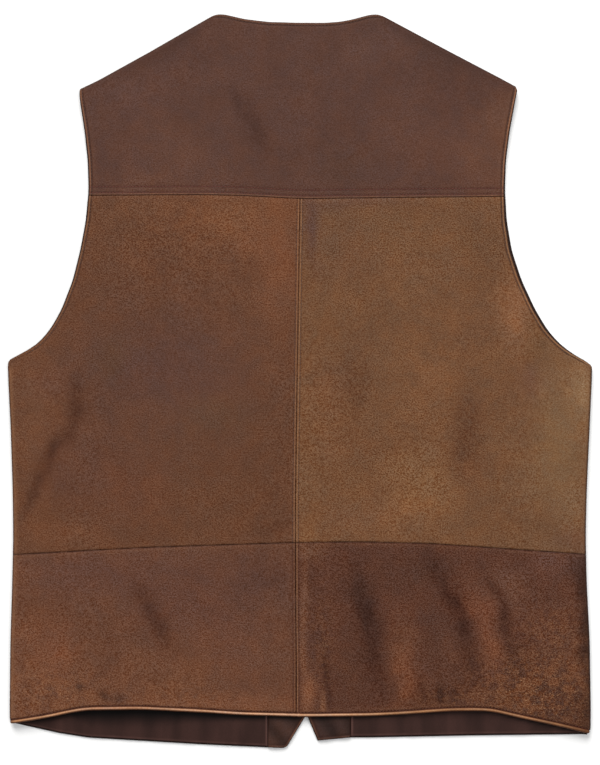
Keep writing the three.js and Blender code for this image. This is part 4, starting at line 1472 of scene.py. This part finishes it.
def build_layer(layer, side, outline, edges):
    """A layer that lies on a front: the lining or the facing."""
    look = LAYERS[layer]
    net = Net(outline, edges, LINING_STEP)
    x, y = net.x, net.y
    lift = folds(look["folds"], x, y)
    upper = np.stack([x, y, LAYER_Z + look["thick"] + lift + net.relief()], axis=-1)
    lower = np.stack([x, y, np.full(x.shape, LAYER_Z)], axis=-1)
    piece = make_wall(f"front_{layer}_{side}_{look['stuff']}", upper, lower, [look["face"]])
    # Painted shadow: the layer darkens close under the back's hem, where the hem's shadow falls
    start, reach = (np.interp(x, PAINTED_HEM_SHADOW["x"], PAINTED_HEM_SHADOW[column]) for column in ("start", "reach"))
    out_of_hem_shadow = smooth((back_hem(x) - y - start) / reach)
    # Painted light and shade on the folds: lighter on their crests, darker in their troughs
    shade = (1 + FOLD_PAINTED_LIGHT * lift) * mix(PAINTED_HEM_SHADOW_DEPTH, 1, out_of_hem_shadow)
    tone = srgb(look["tone"][side]) * shade.reshape(-1, 1)
    marks = net.marks(0 * x)
    paint(piece, np.concatenate([tone, tone]), np.concatenate([marks, 0 * marks]), 0.35)
    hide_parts(f"front_{layer}_{side}")


def build_inside(side):
    """A front's lining, and the facing beside it along the straight edge and the neck."""

    def outer(y):
        inset = mix(2.0, FOLD_INSET, smooth((UNDERARM + 2 * FOLD_FADE - y) / FOLD_FADE))
        return body_edge(side)(y) - OUTWARD[side] * inset

    def seam(shift):
        return lambda y: facing_seam(side)(y) + OUTWARD[side] * shift

    def above_hem(rise):
        return lambda x: front_hem(side)(x) + rise

    straight = Edge(PLAIN_DITCH, wear=0)
    top = {"top": lambda x: top_edge(x) - FOLD_INSET}
    build_layer(
        "lining",
        side,
        {**by_side(side, outer, seam(SEAM_GAP / 2)), "bottom": above_hem(1.2), **top},
        {
            **by_side(side, straight, Edge(LINING_EDGE)),
            "bottom": Edge(LINING_EDGE, wear=0.5),
            "top": Edge(),
        },
    )
    inner = by_side(side, seam(-SEAM_GAP / 2), lambda y: inner_edge(side)(y) + OUTWARD[side] * 0.5)
    build_layer(
        "facing",
        side,
        {**inner, "bottom": above_hem(0.4), **top},
        {
            **by_side(side, straight, Edge(FACING_EDGE, wear=FACING_WEAR[side])),
            "bottom": Edge(FACING_EDGE, wear=0.4),
            "top": Edge(),
        },
    )


def light(name, place, size, energy, colour):
    """A round soft light that points at the frame's origin."""
    lamp = bpy.data.lights.new(name, "AREA")
    lamp.shape = "DISK"
    lamp.size = size
    lamp.energy = energy
    lamp.color = colour
    holder = bpy.data.objects.new(name, lamp)
    holder.location = place
    x, y, z = place
    holder.rotation_euler = (math.atan2(math.hypot(x, y), z), 0, math.atan2(-y, -x) - math.pi / 2)
    bpy.context.scene.collection.objects.link(holder)


FLOOR = {"half": 6.0, "z": -0.0004}


def build_studio():
    floor_mesh = bpy.data.meshes.new("floor")
    half, z = FLOOR["half"], FLOOR["z"]
    corners = [(-half, -half, z), (half, -half, z), (half, half, z), (-half, half, z)]
    floor_mesh.from_pydata(corners, [], [(0, 1, 2, 3)])
    material, _, shader = new_material("pale_floor")
    shader.inputs["Base Color"].default_value = (0.95, 0.95, 0.95, 1)
    shader.inputs["Roughness"].default_value = 0.9
    floor_mesh.materials.append(material)
    floor = bpy.data.objects.new("floor", floor_mesh)
    bpy.context.scene.collection.objects.link(floor)
    floor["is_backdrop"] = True
    world = bpy.data.worlds.new("studio")
    world.use_nodes = True
    background = world.node_tree.nodes["Background"]
    background.inputs["Color"].default_value = (1, 1, 1, 1)
    background.inputs["Strength"].default_value = 0.36
    bpy.context.scene.world = world
    light("key", (-1.4, 7.1, 5.2), 6.4, 960, (1, 0.99, 0.97))
    light("fill", (4.0, 1.0, 8.2), 7.0, 265, (0.98, 0.99, 1))
    bpy.context.scene.view_settings.view_transform = "Standard"


# The photo's frame: its height in pixels, the garment's size on it, and where the frame's middle lies
FRAME_HEIGHT = 765
MM_PER_PIXEL = 0.941
LENS = 85.0
SENSOR = 36.0
OUTLINE_HEIGHT = 0.004
MIDDLE_Y = -0.0006


def build_camera():
    camera = bpy.data.cameras.new("camera")
    camera.lens = LENS
    camera.sensor_width = SENSOR
    holder = bpy.data.objects.new("camera", camera)
    distance = FRAME_HEIGHT * MM_PER_PIXEL * MM * LENS / SENSOR
    holder.location = (0, MIDDLE_Y, distance + OUTLINE_HEIGHT)
    bpy.context.scene.collection.objects.link(holder)
    bpy.context.scene.camera = holder


build_camera()
build_studio()
for part in ("left", "right"):
    build_front(part)
    build_inside(part)
    build_centre_panel(part)
build_yoke()
bands = {part: build_band(part) for part in ("left", "right")}
hem = build_hem_edge([net for _, _, net in bands.values()])

{name: [list(corner) for corner in box] for name, box in (("cad", cad_box), ("visual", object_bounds()))}
